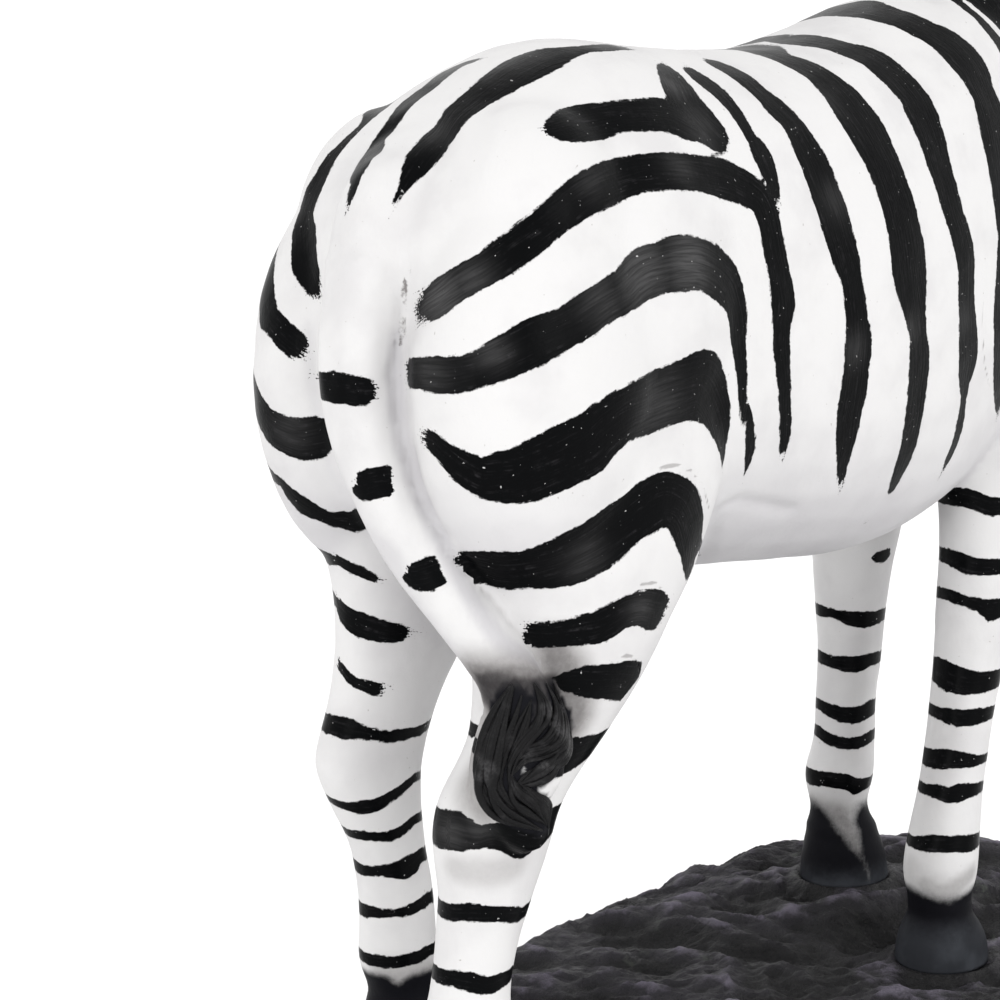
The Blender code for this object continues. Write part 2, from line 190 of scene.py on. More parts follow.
def smoothRows(rows, per=3):
    # The same rows read along a smooth curve through all of them
    rows = np.array(rows, float)
    padded = np.vstack([2 * rows[0] - rows[1], rows, 2 * rows[-1] - rows[-2]])
    result = []
    for place in range(len(rows) - 1):
        a, b, c, d = padded[place:place + 4]
        for step in range(per):
            t = step / per
            bend = (2 * a - 5 * b + 4 * c - d) * t * t
            result.append(0.5 * (2 * b + (c - a) * t + bend + (3 * b - a - 3 * c + d) * t ** 3))
    result.append(rows[-1])
    return np.array(result)


def ringAt(centre, side, up, exponent=1.0):
    count = figureShape["ringPoints"]
    points = []
    for step in range(count):
        angle = 2 * math.pi * step / count
        wide, tall = power(math.cos(angle), exponent), power(math.sin(angle), exponent)
        points.append(centre + side * wide + up * tall)
    return points


def loftRings(target, rings):
    made = [[target.verts.new(point) for point in ring] for ring in rings]
    count = len(made[0])
    faces = []
    for near, far in zip(made, made[1:]):
        for step in range(count):
            after = (step + 1) % count
            faces.append(target.faces.new((near[step], near[after], far[after], far[step])))
    for ring in (made[0], made[-1]):
        pole = target.verts.new(sum((vert.co for vert in ring), Vector()) / count)
        for step in range(count):
            faces.append(target.faces.new((pole, ring[(step + 1) % count], ring[step])))
    bmesh.ops.recalc_face_normals(target, faces=faces)


def loftProfile(target, stations, exponent):
    rings = []
    for topX, topZ, lowX, lowZ, halfWidth in stations:
        top = Vector((topX, 0, topZ))
        low = Vector((lowX, 0, lowZ))
        rings.append(ringAt((top + low) / 2, Vector((0, halfWidth, 0)), (top - low) / 2, exponent))
    loftRings(target, rings)


def limbRows(name):
    # x, y, z, half length, half width, turn in radians, down the middle of one leg
    side = 1 if name.endswith("Left") else -1
    fore = name.startswith("fore")
    stations = foreLimbStations if fore else hindLimbStations
    lean = foreLean[name] if fore else hindLean[name]
    drops = foreDrop.get(name, [0] * len(stations))
    girths = hindGirth.get(name, [1] * len(stations))
    rows = []
    for station, x, drop, girth in zip(stations, lean, drops, girths):
        height, outward, halfLength, halfWidth = station[:4]
        turn = math.radians(station[4]) if len(station) > 4 else 0.0
        rows.append((x, side * outward, height - drop, halfLength * girth, halfWidth * girth, side * turn))
    return rows


def addLimb(target, name):
    rings = []
    for x, y, z, halfLength, halfWidth, turn in smoothRows(limbRows(name)):
        along = Vector((math.cos(turn), math.sin(turn), 0)) * halfLength
        across = Vector((-math.sin(turn), math.cos(turn), 0)) * halfWidth
        rings.append(ringAt(Vector((x, y, z)), along, across))
    loftRings(target, rings)


def addMuscles(target):
    for x, outward, z, halfLength, halfWidth, halfHeight in muscles:
        for side in (1, -1):
            rings = []
            for step in range(1, figureShape["muscleRings"]):
                angle = math.pi * step / figureShape["muscleRings"]
                out = math.sin(angle)
                middle = Vector((x, side * outward, z + halfHeight * math.cos(angle)))
                along, across = Vector((halfLength * out, 0, 0)), Vector((0, halfWidth * out, 0))
                rings.append(ringAt(middle, along, across))
            loftRings(target, rings)


def addTailBone(target):
    rows = smoothRows(tailStations)
    rings = []
    for step, (x, y, z, halfWidth, halfThickness) in enumerate(rows):
        before = Vector(rows[max(step - 1, 0)][:3])
        after = Vector(rows[min(step + 1, len(rows) - 1)][:3])
        way = (after - before).normalized()
        outward = Vector((-1.0, y * 0.03, 0.1))
        outward = (outward - way * outward.dot(way)).normalized()
        across = way.cross(outward)
        rings.append(ringAt(Vector((x, y, z)), across * halfWidth, outward * halfThickness, 0.9))
    loftRings(target, rings)


def addManeCrest(target):
    rows = smoothRows(maneStations)
    rings = []
    for step, (x, z, height) in enumerate(rows):
        before = rows[max(step - 1, 0)]
        after = rows[min(step + 1, len(rows) - 1)]
        way = Vector((after[0] - before[0], 0, after[1] - before[1])).normalized()
        up = Vector((-way.z, 0, way.x))
        root = Vector((x, 0, z)) - up * figureShape["maneSunk"]
        tall = (height + figureShape["maneSunk"]) / 2
        rings.append(ringAt(root + up * tall, Vector((0, maneHalfWidth, 0)), up * tall, 0.8))
    loftRings(target, rings)


def earFrame(side):
    browX, browZ = headStations[1][:2]
    root = Vector((browX - earShape["behind"], side * earShape["out"], browZ - earShape["sunk"]))
    tip = root + Vector((-earShape["lean"], side * earShape["splay"], earShape["rise"]))
    way = (tip - root).normalized()
    across = Vector((0.55, side * 0.8, 0))
    across = (across - way * across.dot(way)).normalized()
    return root, tip, way, across, way.cross(across)


def addEars(target):
    for side in (1, -1):
        root, tip, way, across, through = earFrame(side)
        rings = []
        for step in range(figureShape["earRings"] + 1):
            share = step / figureShape["earRings"]
            swell = math.sin(math.pi * (earShape["swellFrom"] + earShape["swellSpan"] * share)) ** 0.8
            rings.append(ringAt(root.lerp(tip, share), across * earShape["halfWidth"] * swell,
                                through * earShape["halfThickness"] * max(swell, earShape["thinnest"])))
        loftRings(target, rings)


def meshObject(name, source):
    mesh = bpy.data.meshes.new(name)
    source.to_mesh(mesh)
    source.free()
    return addObject(name, mesh)


def settled(item):
    # Plain mesh of an object with its modifiers worked out; the object itself goes
    graph = bpy.context.evaluated_depsgraph_get()
    mesh = bpy.data.meshes.new_from_object(item.evaluated_get(graph))
    bpy.data.objects.remove(item, do_unlink=True)
    return mesh


def figureSkin():
    masses = bmesh.new()
    barrel = [(x, back, x, belly, width) for x, back, belly, width in smoothRows(barrelStations)]
    loftProfile(masses, barrel, figureShape["barrelSquareness"])
    loftProfile(masses, smoothRows(neckStations), figureShape["neckSquareness"])
    loftProfile(masses, smoothRows(headStations), figureShape["headSquareness"])
    for name in hoofPlaces:
        addLimb(masses, name)
    addMuscles(masses)
    addTailBone(masses)
    addManeCrest(masses)
    addEars(masses)
    item = meshObject("masses", masses)
    skin = item.modifiers.new("skin", "REMESH")
    skin.mode = "VOXEL"
    skin.voxel_size = figureShape["cell"]
    soft = item.modifiers.new("soft", "SMOOTH")
    soft.factor = 0.5
    soft.iterations = figureShape["softening"]
    return settled(item)


def cutHooves(mesh):
    figure = bmesh.new()
    figure.from_mesh(mesh)
    for x, y, level in hoofPlaces.values():
        chosen = [vert for vert in figure.verts
                  if abs(vert.co.x - x) < figureShape["cutHalfLength"]
                  and abs(vert.co.y - y) < figureShape["cutHalfWidth"]
                  and vert.co.z < level + figureShape["cutAbove"]]
        faces = {face for vert in chosen for face in vert.link_faces}
        edges = {edge for face in faces for edge in face.edges}
        cut = bmesh.ops.bisect_plane(figure, geom=list(faces) + list(edges) + chosen, dist=0.02,
                                     plane_co=(0, 0, level + figureShape["seatGap"]), plane_no=(0, 0, -1),
                                     clear_outer=True)
        rim = [piece for piece in cut["geom_cut"] if isinstance(piece, bmesh.types.BMEdge)]
        bmesh.ops.contextual_create(figure, geom=rim)
    figure.to_mesh(mesh)
    figure.free()


def softenRoot(mesh):
    # The top of the tail melts into the rump
    figure = bmesh.new()
    figure.from_mesh(mesh)
    root = Vector(tailStations[0][:3])
    near = [vert for vert in figure.verts
            if (vert.co - root).length < figureShape["rootReach"] and vert.co.x < figureShape["rootFront"]]
    for step in range(figureShape["rootRounds"]):
        bmesh.ops.smooth_vert(figure, verts=near, factor=0.5,
                              use_axis_x=True, use_axis_y=True, use_axis_z=True)
    figure.to_mesh(mesh)
    figure.free()


def pointsOf(mesh):
    flat = np.empty(len(mesh.vertices) * 3)
    mesh.vertices.foreach_get("co", flat)
    return flat.reshape(-1, 3)


def normalsOf(mesh):
    flat = np.empty(len(mesh.vertices) * 3)
    mesh.vertex_normals.foreach_get("vector", flat)
    return flat.reshape(-1, 3)


def treeOf(mesh):
    return BVHTree.FromPolygons([vert.co.copy() for vert in mesh.vertices],
                                [tuple(face.vertices) for face in mesh.polygons])


def eased(share):
    return share * share * (3 - 2 * share)


def bell(distance, reach):
    # One at no distance, falling softly away past the reach
    return np.exp(-(distance / reach) ** 2)


def ramp(value, low, high):
    share = np.clip((value - low) / (high - low), 0, 1)
    return eased(share)


# Painted strokes on the body: each station is a point on either edge, in pixels of the picture.
# "flat" squares an end off, and the dry ends are in millimetres.
bodyStrokes = {
    "rumpTop": {"dryEnd": 2.5, "stations": [
        (628, 47, 627, 49), (600, 45, 600, 50), (580, 46, 580, 53), (560, 47, 562, 60), (540, 49, 545, 69),
        (515, 58, 525, 81), (490, 74, 503, 95), (465, 93, 480, 110), (445, 110, 460, 127),
        (428, 128, 443, 148), (413, 148, 430, 164), (404, 166, 418, 178), (397, 185, 406, 191),
        (390, 205, 396, 206), (387, 216, 388, 217)]},
    "rumpMiddle": {"dryEnd": 4, "stations": [
        (485, 56, 485, 58), (455, 64, 457, 68), (430, 81, 434, 87), (406, 98, 413, 104),
        (387, 119, 396, 121), (369, 139, 381, 141), (359, 159, 370, 161), (353, 179, 360, 181),
        (347, 199, 353, 201), (344, 220, 346, 221)]},
    "rumpEdge": {"dryEnd": 4, "stations": [
        (407, 89, 407, 91), (384, 103, 387, 107), (364, 119, 369, 122), (344, 139, 351, 141),
        (325, 159, 336, 162), (314, 178, 326, 183), (303, 198, 317, 203), (296, 220, 313, 221),
        (294, 240, 317, 240), (295, 260, 319, 260), (302, 278, 322, 280), (310, 291, 323, 293),
        (318, 299, 320, 300)]},
    "saddleBar": {"both": True, "stations": [
        (540, 129, 541, 132), (551, 122, 553, 138), (566, 114, 568, 139), (584, 107, 585, 136),
        (605, 103, 604, 134), (625, 101, 625, 131), (650, 100, 650, 130), (670, 101, 668, 131),
        (685, 108, 680, 136), (702, 122, 698, 140), (722, 138, 716, 145)]},
    "saddleWedge": {"both": True, "stations": [
        (662, 61, 664, 63), (676, 70, 666, 78), (686, 80, 670, 92), (697, 94, 672, 106),
        (708, 107, 680, 118), (718, 119, 690, 128), (726, 131, 704, 138), (727, 142, 718, 145)]},
    "thinBack": {"both": True, "stations": [
        (683, 63, 683, 65), (700, 72, 694, 79), (718, 84, 710, 93), (733, 100, 724, 107),
        (745, 118, 738, 126), (757, 138, 746, 141), (768, 148, 754, 160), (775, 166, 762, 177),
        (779, 186, 769, 192), (780, 206, 773, 203)]},
    "archOne": {"both": True, "stations": [
        (421, 290, 424, 326), (436, 277, 440, 318), (455, 265, 460, 302), (480, 252, 486, 287),
        (500, 237, 508, 275), (525, 219, 535, 256), (548, 200, 560, 236), (575, 176, 585, 220),
        (600, 163, 606, 208), (625, 157, 628, 196), (650, 154, 652, 190), (675, 153, 675, 189),
        (700, 157, 698, 191), (730, 163, 718, 195), (750, 174, 735, 199), (767, 188, 749, 206),
        (776, 202, 755, 218), (780, 222, 760, 235), (784, 243, 763, 255), (790, 270, 768, 280),
        (796, 302, 771, 302), (792, 322, 772, 322), (790, 350, 773, 350), (791, 380, 777, 380),
        (791, 405, 779, 405), (791, 430, 780, 428), (787, 450, 780, 448), (782, 462, 781, 462)]},
    "archTwo": {"both": True, "flat": "Start", "stations": [
        (403, 359, 403, 388), (421, 356, 424, 391), (445, 356, 452, 395), (470, 352, 478, 390),
        (500, 335, 512, 379), (530, 317, 545, 364), (560, 307, 570, 349), (580, 293, 592, 338),
        (600, 281, 610, 324), (620, 266, 632, 312), (640, 246, 650, 300), (660, 241, 664, 294),
        (680, 234, 682, 293), (700, 236, 698, 291), (718, 244, 708, 295), (732, 259, 716, 300),
        (740, 275, 722, 305), (743, 290, 726, 315), (746, 308, 729, 328), (747, 340, 731, 345),
        (748, 370, 736, 372), (748, 395, 738, 397), (747, 412, 739, 412), (742, 428, 737, 426),
        (736, 442, 733, 440), (728, 461, 726, 459), (722, 477, 721, 476)]},
    "archTwoTip": {"both": True, "stations": [
        (747, 395, 743, 402), (752, 410, 744, 414), (755, 428, 745, 431), (756, 447, 744, 450),
        (751, 463, 744, 464), (746, 478, 743, 480), (744, 485, 743, 485)]},
    "archThree": {"both": True, "stations": [
        (424, 428, 423, 447), (434, 430, 428, 452), (445, 440, 440, 462), (455, 446, 452, 476),
        (468, 452, 466, 488), (484, 458, 482, 498), (500, 451, 505, 503), (520, 445, 525, 504),
        (545, 432, 552, 497), (565, 421, 575, 487), (585, 411, 598, 475), (600, 400, 612, 459),
        (620, 390, 635, 438), (640, 380, 655, 430), (660, 368, 678, 422), (680, 358, 690, 420),
        (697, 350, 700, 420), (709, 357, 704, 424), (717, 375, 708, 430), (722, 393, 712, 438),
        (725, 415, 716, 446), (725, 440, 719, 456), (723, 462, 721, 467), (721, 477, 721, 478)]},
    "archFour": {"both": True, "stations": [
        (459, 557, 461, 577), (467, 551, 471, 579), (482, 550, 486, 583), (500, 551, 500, 589),
        (525, 549, 530, 588), (545, 541, 552, 587), (565, 530, 575, 583), (585, 519, 600, 571),
        (605, 506, 620, 557), (625, 494, 640, 541), (645, 478, 655, 533), (662, 472, 668, 526),
        (680, 475, 675, 532), (692, 482, 677, 540), (700, 500, 680, 552), (702, 522, 683, 562),
        (697, 546, 684, 574), (686, 583, 685, 585)]},
    "archFourTip": {"both": True, "stations": [
        (702, 520, 694, 524), (701, 540, 696, 545), (699, 559, 698, 560)]},
    "archFive": {"both": True, "flat": "StartEnd", "stations": [
        (518, 620, 524, 643), (527, 621, 534, 647), (541, 622, 545, 648), (560, 620, 565, 647),
        (580, 615, 585, 645), (600, 608, 604, 643), (620, 597, 626, 629), (640, 591, 642, 625),
        (655, 592, 655, 629), (668, 600, 663, 626)]},
    "flankOne": {"both": True, "dryEnd": 5, "stations": [
        (700, 58, 702, 60), (720, 62, 718, 70), (745, 73, 738, 83), (765, 88, 752, 95), (782, 100, 767, 112),
        (800, 118, 781, 125), (815, 138, 790, 144), (827, 157, 799, 163), (838, 183, 808, 187),
        (847, 207, 817, 213), (854, 232, 824, 236), (859, 255, 832, 256), (862, 275, 840, 276),
        (866, 300, 844, 300), (869, 325, 846, 325), (873, 345, 845, 345), (870, 370, 843, 372),
        (867, 395, 839, 398), (861, 420, 837, 422), (857, 440, 837, 442), (850, 460, 837, 462),
        (845, 478, 837, 480), (839, 495, 838, 497)]},
    "flankTwo": {"both": True, "dryEnd": 5, "stations": [
        (722, 47, 722, 49), (742, 44, 746, 52), (765, 48, 770, 57), (785, 54, 790, 66), (807, 60, 803, 75),
        (828, 70, 816, 86), (850, 85, 827, 100), (866, 100, 840, 122), (880, 118, 851, 142),
        (892, 143, 863, 162), (902, 165, 873, 183), (910, 188, 881, 204), (917, 210, 886, 224),
        (923, 235, 889, 243), (927, 262, 891, 264), (927, 285, 896, 286), (926, 310, 904, 310),
        (927, 335, 909, 336), (930, 360, 909, 360), (928, 385, 908, 386), (923, 415, 905, 416),
        (917, 440, 901, 440), (910, 462, 896, 462), (899, 483, 890, 483), (886, 501, 885, 502),
        (864, 524, 864, 525)]},
    "flankThree": {"both": True, "dryEnd": 4, "stations": [
        (770, 37, 772, 39), (795, 35, 800, 44), (825, 37, 822, 49), (850, 43, 842, 56), (880, 51, 863, 66),
        (897, 62, 878, 79), (912, 75, 891, 91), (926, 91, 903, 105), (935, 108, 910, 122),
        (942, 128, 919, 141), (948, 152, 926, 163), (954, 174, 933, 182), (960, 198, 940, 204),
        (966, 222, 947, 224), (972, 243, 953, 244), (975, 265, 957, 265), (975, 290, 958, 290),
        (976, 315, 959, 315), (978, 340, 959, 340), (977, 362, 959, 362), (971, 382, 960, 382),
        (967, 402, 961, 402), (965, 420, 958, 420), (958, 445, 952, 445), (948, 465, 944, 463),
        (939, 477, 939, 478)]},
    "flankFour": {"both": True, "dryEnd": 4, "stations": [
        (813, 15, 814, 16), (833, 5, 838, 14), (860, 3, 862, 16), (885, 5, 882, 22), (905, 10, 902, 29),
        (922, 17, 916, 37), (938, 25, 929, 45), (955, 33, 941, 55), (970, 44, 951, 66), (982, 58, 961, 78),
        (988, 75, 969, 92), (995, 90, 977, 108), (1002, 106, 982, 127), (1008, 128, 986, 150),
        (1012, 152, 990, 172), (1015, 178, 993, 195), (1018, 205, 996, 217), (1020, 235, 998, 240),
        (1020, 262, 997, 264), (1019, 292, 995, 293), (1017, 320, 994, 320), (1013, 345, 994, 345),
        (1008, 370, 994, 370), (1003, 395, 995, 396), (997, 420, 996, 420)]},
}
# Strokes on the left seat, from the tail outwards. Each runs on along the mirrored stroke that it follows,
# past the x named "beyond".
leftSeatStrokes = {
    "seatOne": {"follows": "archOne", "beyond": -66, "stations": [
        (309, 346, 303, 359), (304, 336, 294, 360), (297, 327, 283, 353), (287, 319, 271, 340),
        (276, 308, 261, 324), (271, 296, 259, 308)]},
    "seatTwo": {"follows": "archTwo", "beyond": -66, "stations": [
        (329, 430, 333, 446), (324, 418, 326, 451), (313, 416, 315, 459), (300, 418, 300, 461),
        (286, 415, 289, 457), (273, 410, 276, 449), (264, 402, 266, 438)]},
    "seatThree": {"follows": "archThree", "beyond": -66, "stations": [
        (366, 518, 364, 524), (358, 511, 359, 528), (345, 510, 348, 529), (330, 511, 332, 527),
        (315, 505, 318, 521), (300, 494, 303, 516), (288, 486, 292, 504), (279, 477, 283, 488)]},
    "seatFour": {"follows": "archFour", "beyond": -64, "stations": [
        (388, 579, 386, 583), (375, 575, 377, 583), (360, 567, 366, 579), (345, 560, 352, 573),
        (330, 552, 338, 565), (315, 544, 320, 556)]},
    "seatFive": {"follows": "archFive", "beyond": -60, "dryStart": 5, "stations": [
        (425, 630, 425, 636), (412, 628, 412, 636), (405, 626, 406, 639), (395, 623, 396, 643),
        (380, 619, 382, 643), (365, 613, 366, 640), (350, 606, 351, 632), (341, 600, 343, 622),
        (337, 594, 338, 608)]},
    "seatSix": {"follows": None, "beyond": 0, "dryStart": 2.5, "dryEnd": 1.5, "stations": [
        (391, 684, 390, 690), (378, 682, 380, 697), (365, 680, 368, 693), (352, 676, 356, 687),
        (343, 667, 346, 677), (337, 655, 339, 668)]},
}
tailStrokes = {
    "tailOne": {"dryStart": 4, "dryEnd": 2, "overBody": True, "stations": [
        (308, 375, 309, 379), (318, 372, 319, 384), (328, 371, 327, 403), (345, 373, 345, 405),
        (360, 376, 362, 407), (371, 381, 373, 402), (377, 386, 378, 396)]},
    "tailTwo": {"flat": "StartEnd", "dryStart": 0.6, "dryEnd": 0.8, "stations": [
        (350, 474, 357, 489), (358, 472, 364, 502), (372, 467, 375, 500), (385, 465, 389, 498),
        (394, 467, 396, 495)]},
    "tailThree": {"flat": "StartEnd", "dryStart": 0.8, "dryEnd": 0.6, "stations": [
        (401, 564, 407, 578), (410, 564, 415, 590), (421, 559, 426, 593), (432, 555, 437, 589),
        (441, 559, 444, 579)]},
}
# Bands round the legs: x, top and bottom edge in pixels. They close round the side that isn't seen.
legBands = {
    "foreRight": [
        [(961, 488, 506), (970, 490, 508), (980, 494, 512), (990, 498, 516)],
        [(947, 549, 563), (957, 551, 569), (966, 556, 574), (976, 559, 575), (990, 560, 575)],
        [(946, 589, 599), (954, 591, 603), (966, 596, 607), (978, 599, 611), (990, 600, 621)],
        [(938, 657, 684), (947, 661, 691), (960, 668, 694), (975, 672, 694), (990, 672, 691)],
        [(935, 706, 717), (947, 709, 723), (960, 710, 727), (974, 709, 725), (988, 708, 720)],
        [(930, 749, 768), (942, 749, 769), (955, 751, 768), (968, 754, 767), (979, 756, 764)],
        [(925, 784, 794), (936, 785, 798), (948, 788, 803), (957, 784, 803), (970, 784, 797)],
        [(913, 837, 848), (924, 835, 851), (940, 836, 852), (956, 836, 852), (970, 835, 851)],
    ],
    "foreLeft": [
        [(876, 553, 562), (883, 551, 562), (889, 548, 558)],
        [(822, 605, 616), (835, 610, 618), (850, 612, 626), (865, 612, 628), (876, 611, 624)],
        [(823, 652, 664), (835, 656, 668), (848, 657, 672), (860, 656, 672), (870, 653, 665)],
        [(821, 700, 710), (830, 704, 717), (845, 708, 723), (858, 707, 723), (869, 701, 717)],
        [(819, 726, 737), (829, 733, 745), (845, 738, 749), (860, 736, 748), (870, 731, 742)],
        [(811, 769, 785), (825, 772, 786), (845, 774, 789), (856, 779, 795), (863, 779, 790)],
    ],
    "hindLeft": [
        [(335, 716, 735), (344, 718, 739), (353, 722, 740), (364, 727, 738), (378, 731, 741),
         (395, 731, 741), (410, 729, 738), (421, 726, 734)],
        [(337, 800, 806), (348, 803, 811), (360, 802, 814), (375, 800, 812), (390, 793, 802),
         (402, 785, 794), (414, 774, 782)],
        [(350, 830, 837), (361, 831, 840), (375, 833, 841), (390, 832, 841), (402, 826, 835),
         (414, 815, 824)],
        [(361, 864, 875), (375, 867, 876), (390, 865, 877), (402, 860, 880), (413, 854, 875),
         (420, 849, 863)],
        [(363, 904, 916), (375, 907, 918), (390, 910, 917), (405, 907, 915), (418, 900, 911),
         (428, 892, 905)],
        [(381, 956, 968), (395, 957, 967), (410, 954, 964), (422, 949, 961), (430, 945, 955)],
    ],
    "hindRight": [
        [(479, 668, 689), (485, 672, 689), (567, 672, 691), (580, 667, 694), (600, 666, 697),
         (618, 664, 697), (628, 665, 697)],
        [(469, 724, 753), (476, 724, 750), (572, 741, 772), (582, 743, 773), (588, 747, 772)],
        [(438, 806, 846), (446, 810, 849), (456, 811, 851), (466, 819, 851), (480, 827, 848),
         (490, 822, 847), (505, 822, 850), (525, 828, 856), (538, 828, 852), (546, 825, 842)],
        [(446, 903, 919), (455, 905, 921), (470, 904, 921), (490, 906, 921), (508, 908, 921),
         (521, 908, 920)],
        [(442, 969, 984), (455, 971, 987), (470, 973, 991), (485, 977, 994), (497, 975, 990)],
    ],
}


def pixelWay(px, py):
    right, up, ahead = cameraAxes()
    half = cameraView["pictureWidth"] / 2
    focal = cameraView["lens"] / cameraView["sensor"] * cameraView["pictureWidth"]
    return (ahead + right * ((px - half) / focal) + up * ((half - py) / focal)).normalized()


def eyePoint():
    return Vector(cameraView["place"]) / mm - Vector((0, 0, groundHeight))


def hitPixel(tree, px, py):
    place = tree.ray_cast(eyePoint(), pixelWay(px, py))[0]
    return None if place is None else np.array(place)


def hitSide(tree, x, z, side):
    place = tree.ray_cast(Vector((x, side * 200.0, z)), Vector((0, -side, 0)))[0]
    return None if place is None else np.array(place)


def stationsOnSkin(tree, stations, side=-1):
    # Middle of the stroke and its half width at each station
    found = []
    for station in stations:
        if len(station) == 3:
            middle = hitSide(tree, station[0], station[1], side)
            if middle is not None:
                found.append((*middle, station[2]))
            continue
        x1, y1, x2, y2 = station
        middle = hitPixel(tree, (x1 + x2) / 2, (y1 + y2) / 2)
        if middle is None:
            continue
        reach = [np.linalg.norm(edge - middle) for edge in (hitPixel(tree, x1, y1), hitPixel(tree, x2, y2))
                 if edge is not None and np.linalg.norm(edge - middle) < strokeRules["edgeMost"]]
        if reach:
            found.append((*middle, sum(reach) / len(reach)))
    return np.array(found)


def settleOnSkin(tree, rows):
    # A finer run of the stations, laid on the surface
    fine = smoothRows(rows, 5)
    for row in fine:
        row[:3] = tree.find_nearest(Vector(row[:3]))[0]
        row[3] = max(row[3], 0.05)
    return fine


def mirrored(tree, rows, swell=1.0):
    # The same stroke on the other side
    copy = rows.copy()
    copy[:, 1] *= -1
    copy[:, 0] += strokeRules["otherLead"]
    copy[:, 3] *= swell
    for row in copy:
        row[:3] = tree.find_nearest(Vector(row[:3]))[0]
    return copy


def readSkin(mesh):
    return {"points": pointsOf(mesh), "normals": normalsOf(mesh), "tree": treeOf(mesh)}


# Strokes are read on the skin as millimetres inside the edge, place along and across, and dryness
strokeRules = {
    "outside": 4.0,      # how far beyond its edge a stroke is still measured
    "dryEnd": 2.0,       # length of the dry end where a stroke names none
    "dryness": 0.12,     # least dryness of the brush anywhere
    "edgeMost": 9,       # an edge point further than this from the middle missed the surface
    "facing": 0.05,      # the skin has to face at least this much as the stroke does
    "otherLead": 0.6, "otherSwell": 1.03,   # a mirrored stroke is shifted and widened a little
}


def blankField(skin):
    count = len(skin["points"])
    return {"inside": np.full(count, -strokeRules["outside"]), "brush": np.zeros((count, 3))}


def unit(vector):
    return vector / np.linalg.norm(vector)


def everywhere(skin):
    return np.ones(len(skin["points"]), bool)


def strokeField(skin, rows, allowed, flat=""):
    spans = np.diff(rows[:, :3], axis=0)
    lengths = np.linalg.norm(spans, axis=1)
    starts = np.concatenate([[0], np.cumsum(lengths)])
    margin = rows[:, 3].max() + strokeRules["outside"]
    low = rows[:, :3].min(axis=0) - margin
    high = rows[:, :3].max(axis=0) + margin
    chosen = np.flatnonzero(allowed & ((skin["points"] > low) & (skin["points"] < high)).all(axis=1))
    points = skin["points"][chosen]
    normals = skin["normals"][chosen]
    inside = np.full(len(chosen), -strokeRules["outside"])
    along = np.zeros(len(chosen))
    across = np.zeros(len(chosen))
    for place, (span, length) in enumerate(zip(spans, lengths)):
        if length < 0.01:
            continue
        start, end = rows[place], rows[place + 1]
        reach = max(start[3], end[3]) + strokeRules["outside"]
        near = points > np.minimum(start[:3], end[:3]) - reach
        near = np.flatnonzero((near & (points < np.maximum(start[:3], end[:3]) + reach)).all(axis=1))
        if not len(near):
            continue
        facing = np.array(skin["tree"].find_nearest(Vector(start[:3]))[1])
        share = np.clip((points[near] - start[:3]) @ span / length ** 2, 0, 1)
        away = points[near] - start[:3] - share[:, None] * span
        value = start[3] + (end[3] - start[3]) * share - np.linalg.norm(away, axis=1)
        value[normals[near] @ facing < strokeRules["facing"]] = -strokeRules["outside"]
        won = value > inside[near]
        better = near[won]
        inside[better] = value[won]
        along[better] = starts[place] + share[won] * length
        across[better] = (away @ np.cross(span / length, facing))[won]
    if "Start" in flat:
        inside = np.minimum(inside, (points - rows[0, :3]) @ unit(spans[:4].sum(axis=0)))
    if "End" in flat:
        inside = np.minimum(inside, (rows[-1, :3] - points) @ unit(spans[-4:].sum(axis=0)))
    return chosen, inside, along, across, starts[-1]


def addStroke(field, skin, rows, allowed, stroke):
    chosen, inside, along, across, total = strokeField(skin, rows, allowed, stroke.get("flat", ""))
    dryStart = stroke.get("dryStart", strokeRules["dryEnd"])
    dryEnd = stroke.get("dryEnd", strokeRules["dryEnd"])
    dry = np.maximum(1 - along / dryStart, 1 - (total - along) / dryEnd)
    dry = np.clip(np.maximum(dry, stroke.get("dry", strokeRules["dryness"])), 0, 1)
    takeOver(field, chosen, inside, np.stack([along, across, dry], axis=1))


def takeOver(field, ids, inside, brush):
    # The stroke shows where it lies deeper than what is there
    won = inside > field["inside"][ids]
    field["inside"][ids[won]] = inside[won]
    field["brush"][ids[won]] = brush[won]


def laidRows(skin, stations):
    return settleOnSkin(skin["tree"], stationsOnSkin(skin["tree"], stations))


def paintBody(field, skin, onBody):
    followed = {seat["follows"] for seat in leftSeatStrokes.values()}
    laid = {}
    for name, stroke in bodyStrokes.items():
        laid[name] = laidRows(skin, stroke["stations"])
        addStroke(field, skin, laid[name], onBody, stroke)
        if stroke.get("both") and name not in followed:
            other = mirrored(skin["tree"], laid[name], strokeRules["otherSwell"])
            addStroke(field, skin, other, onBody, stroke)
    for stroke in leftSeatStrokes.values():
        rows = laidRows(skin, stroke["stations"])
        addStroke(field, skin, rows, onBody, dict(stroke, dryEnd=0.1))
        if stroke["follows"]:
            rest = mirrored(skin["tree"], laid[stroke["follows"]])
            rest = rest[rest[:, 0] > stroke["beyond"]]
            bridge = settleOnSkin(skin["tree"], np.vstack([rows[-2:], rest[:1], rest[4:5]]))
            addStroke(field, skin, bridge, onBody, {"dryStart": 0.1, "dryEnd": 0.1})
            addStroke(field, skin, rest, onBody, {"dryStart": 0.1})


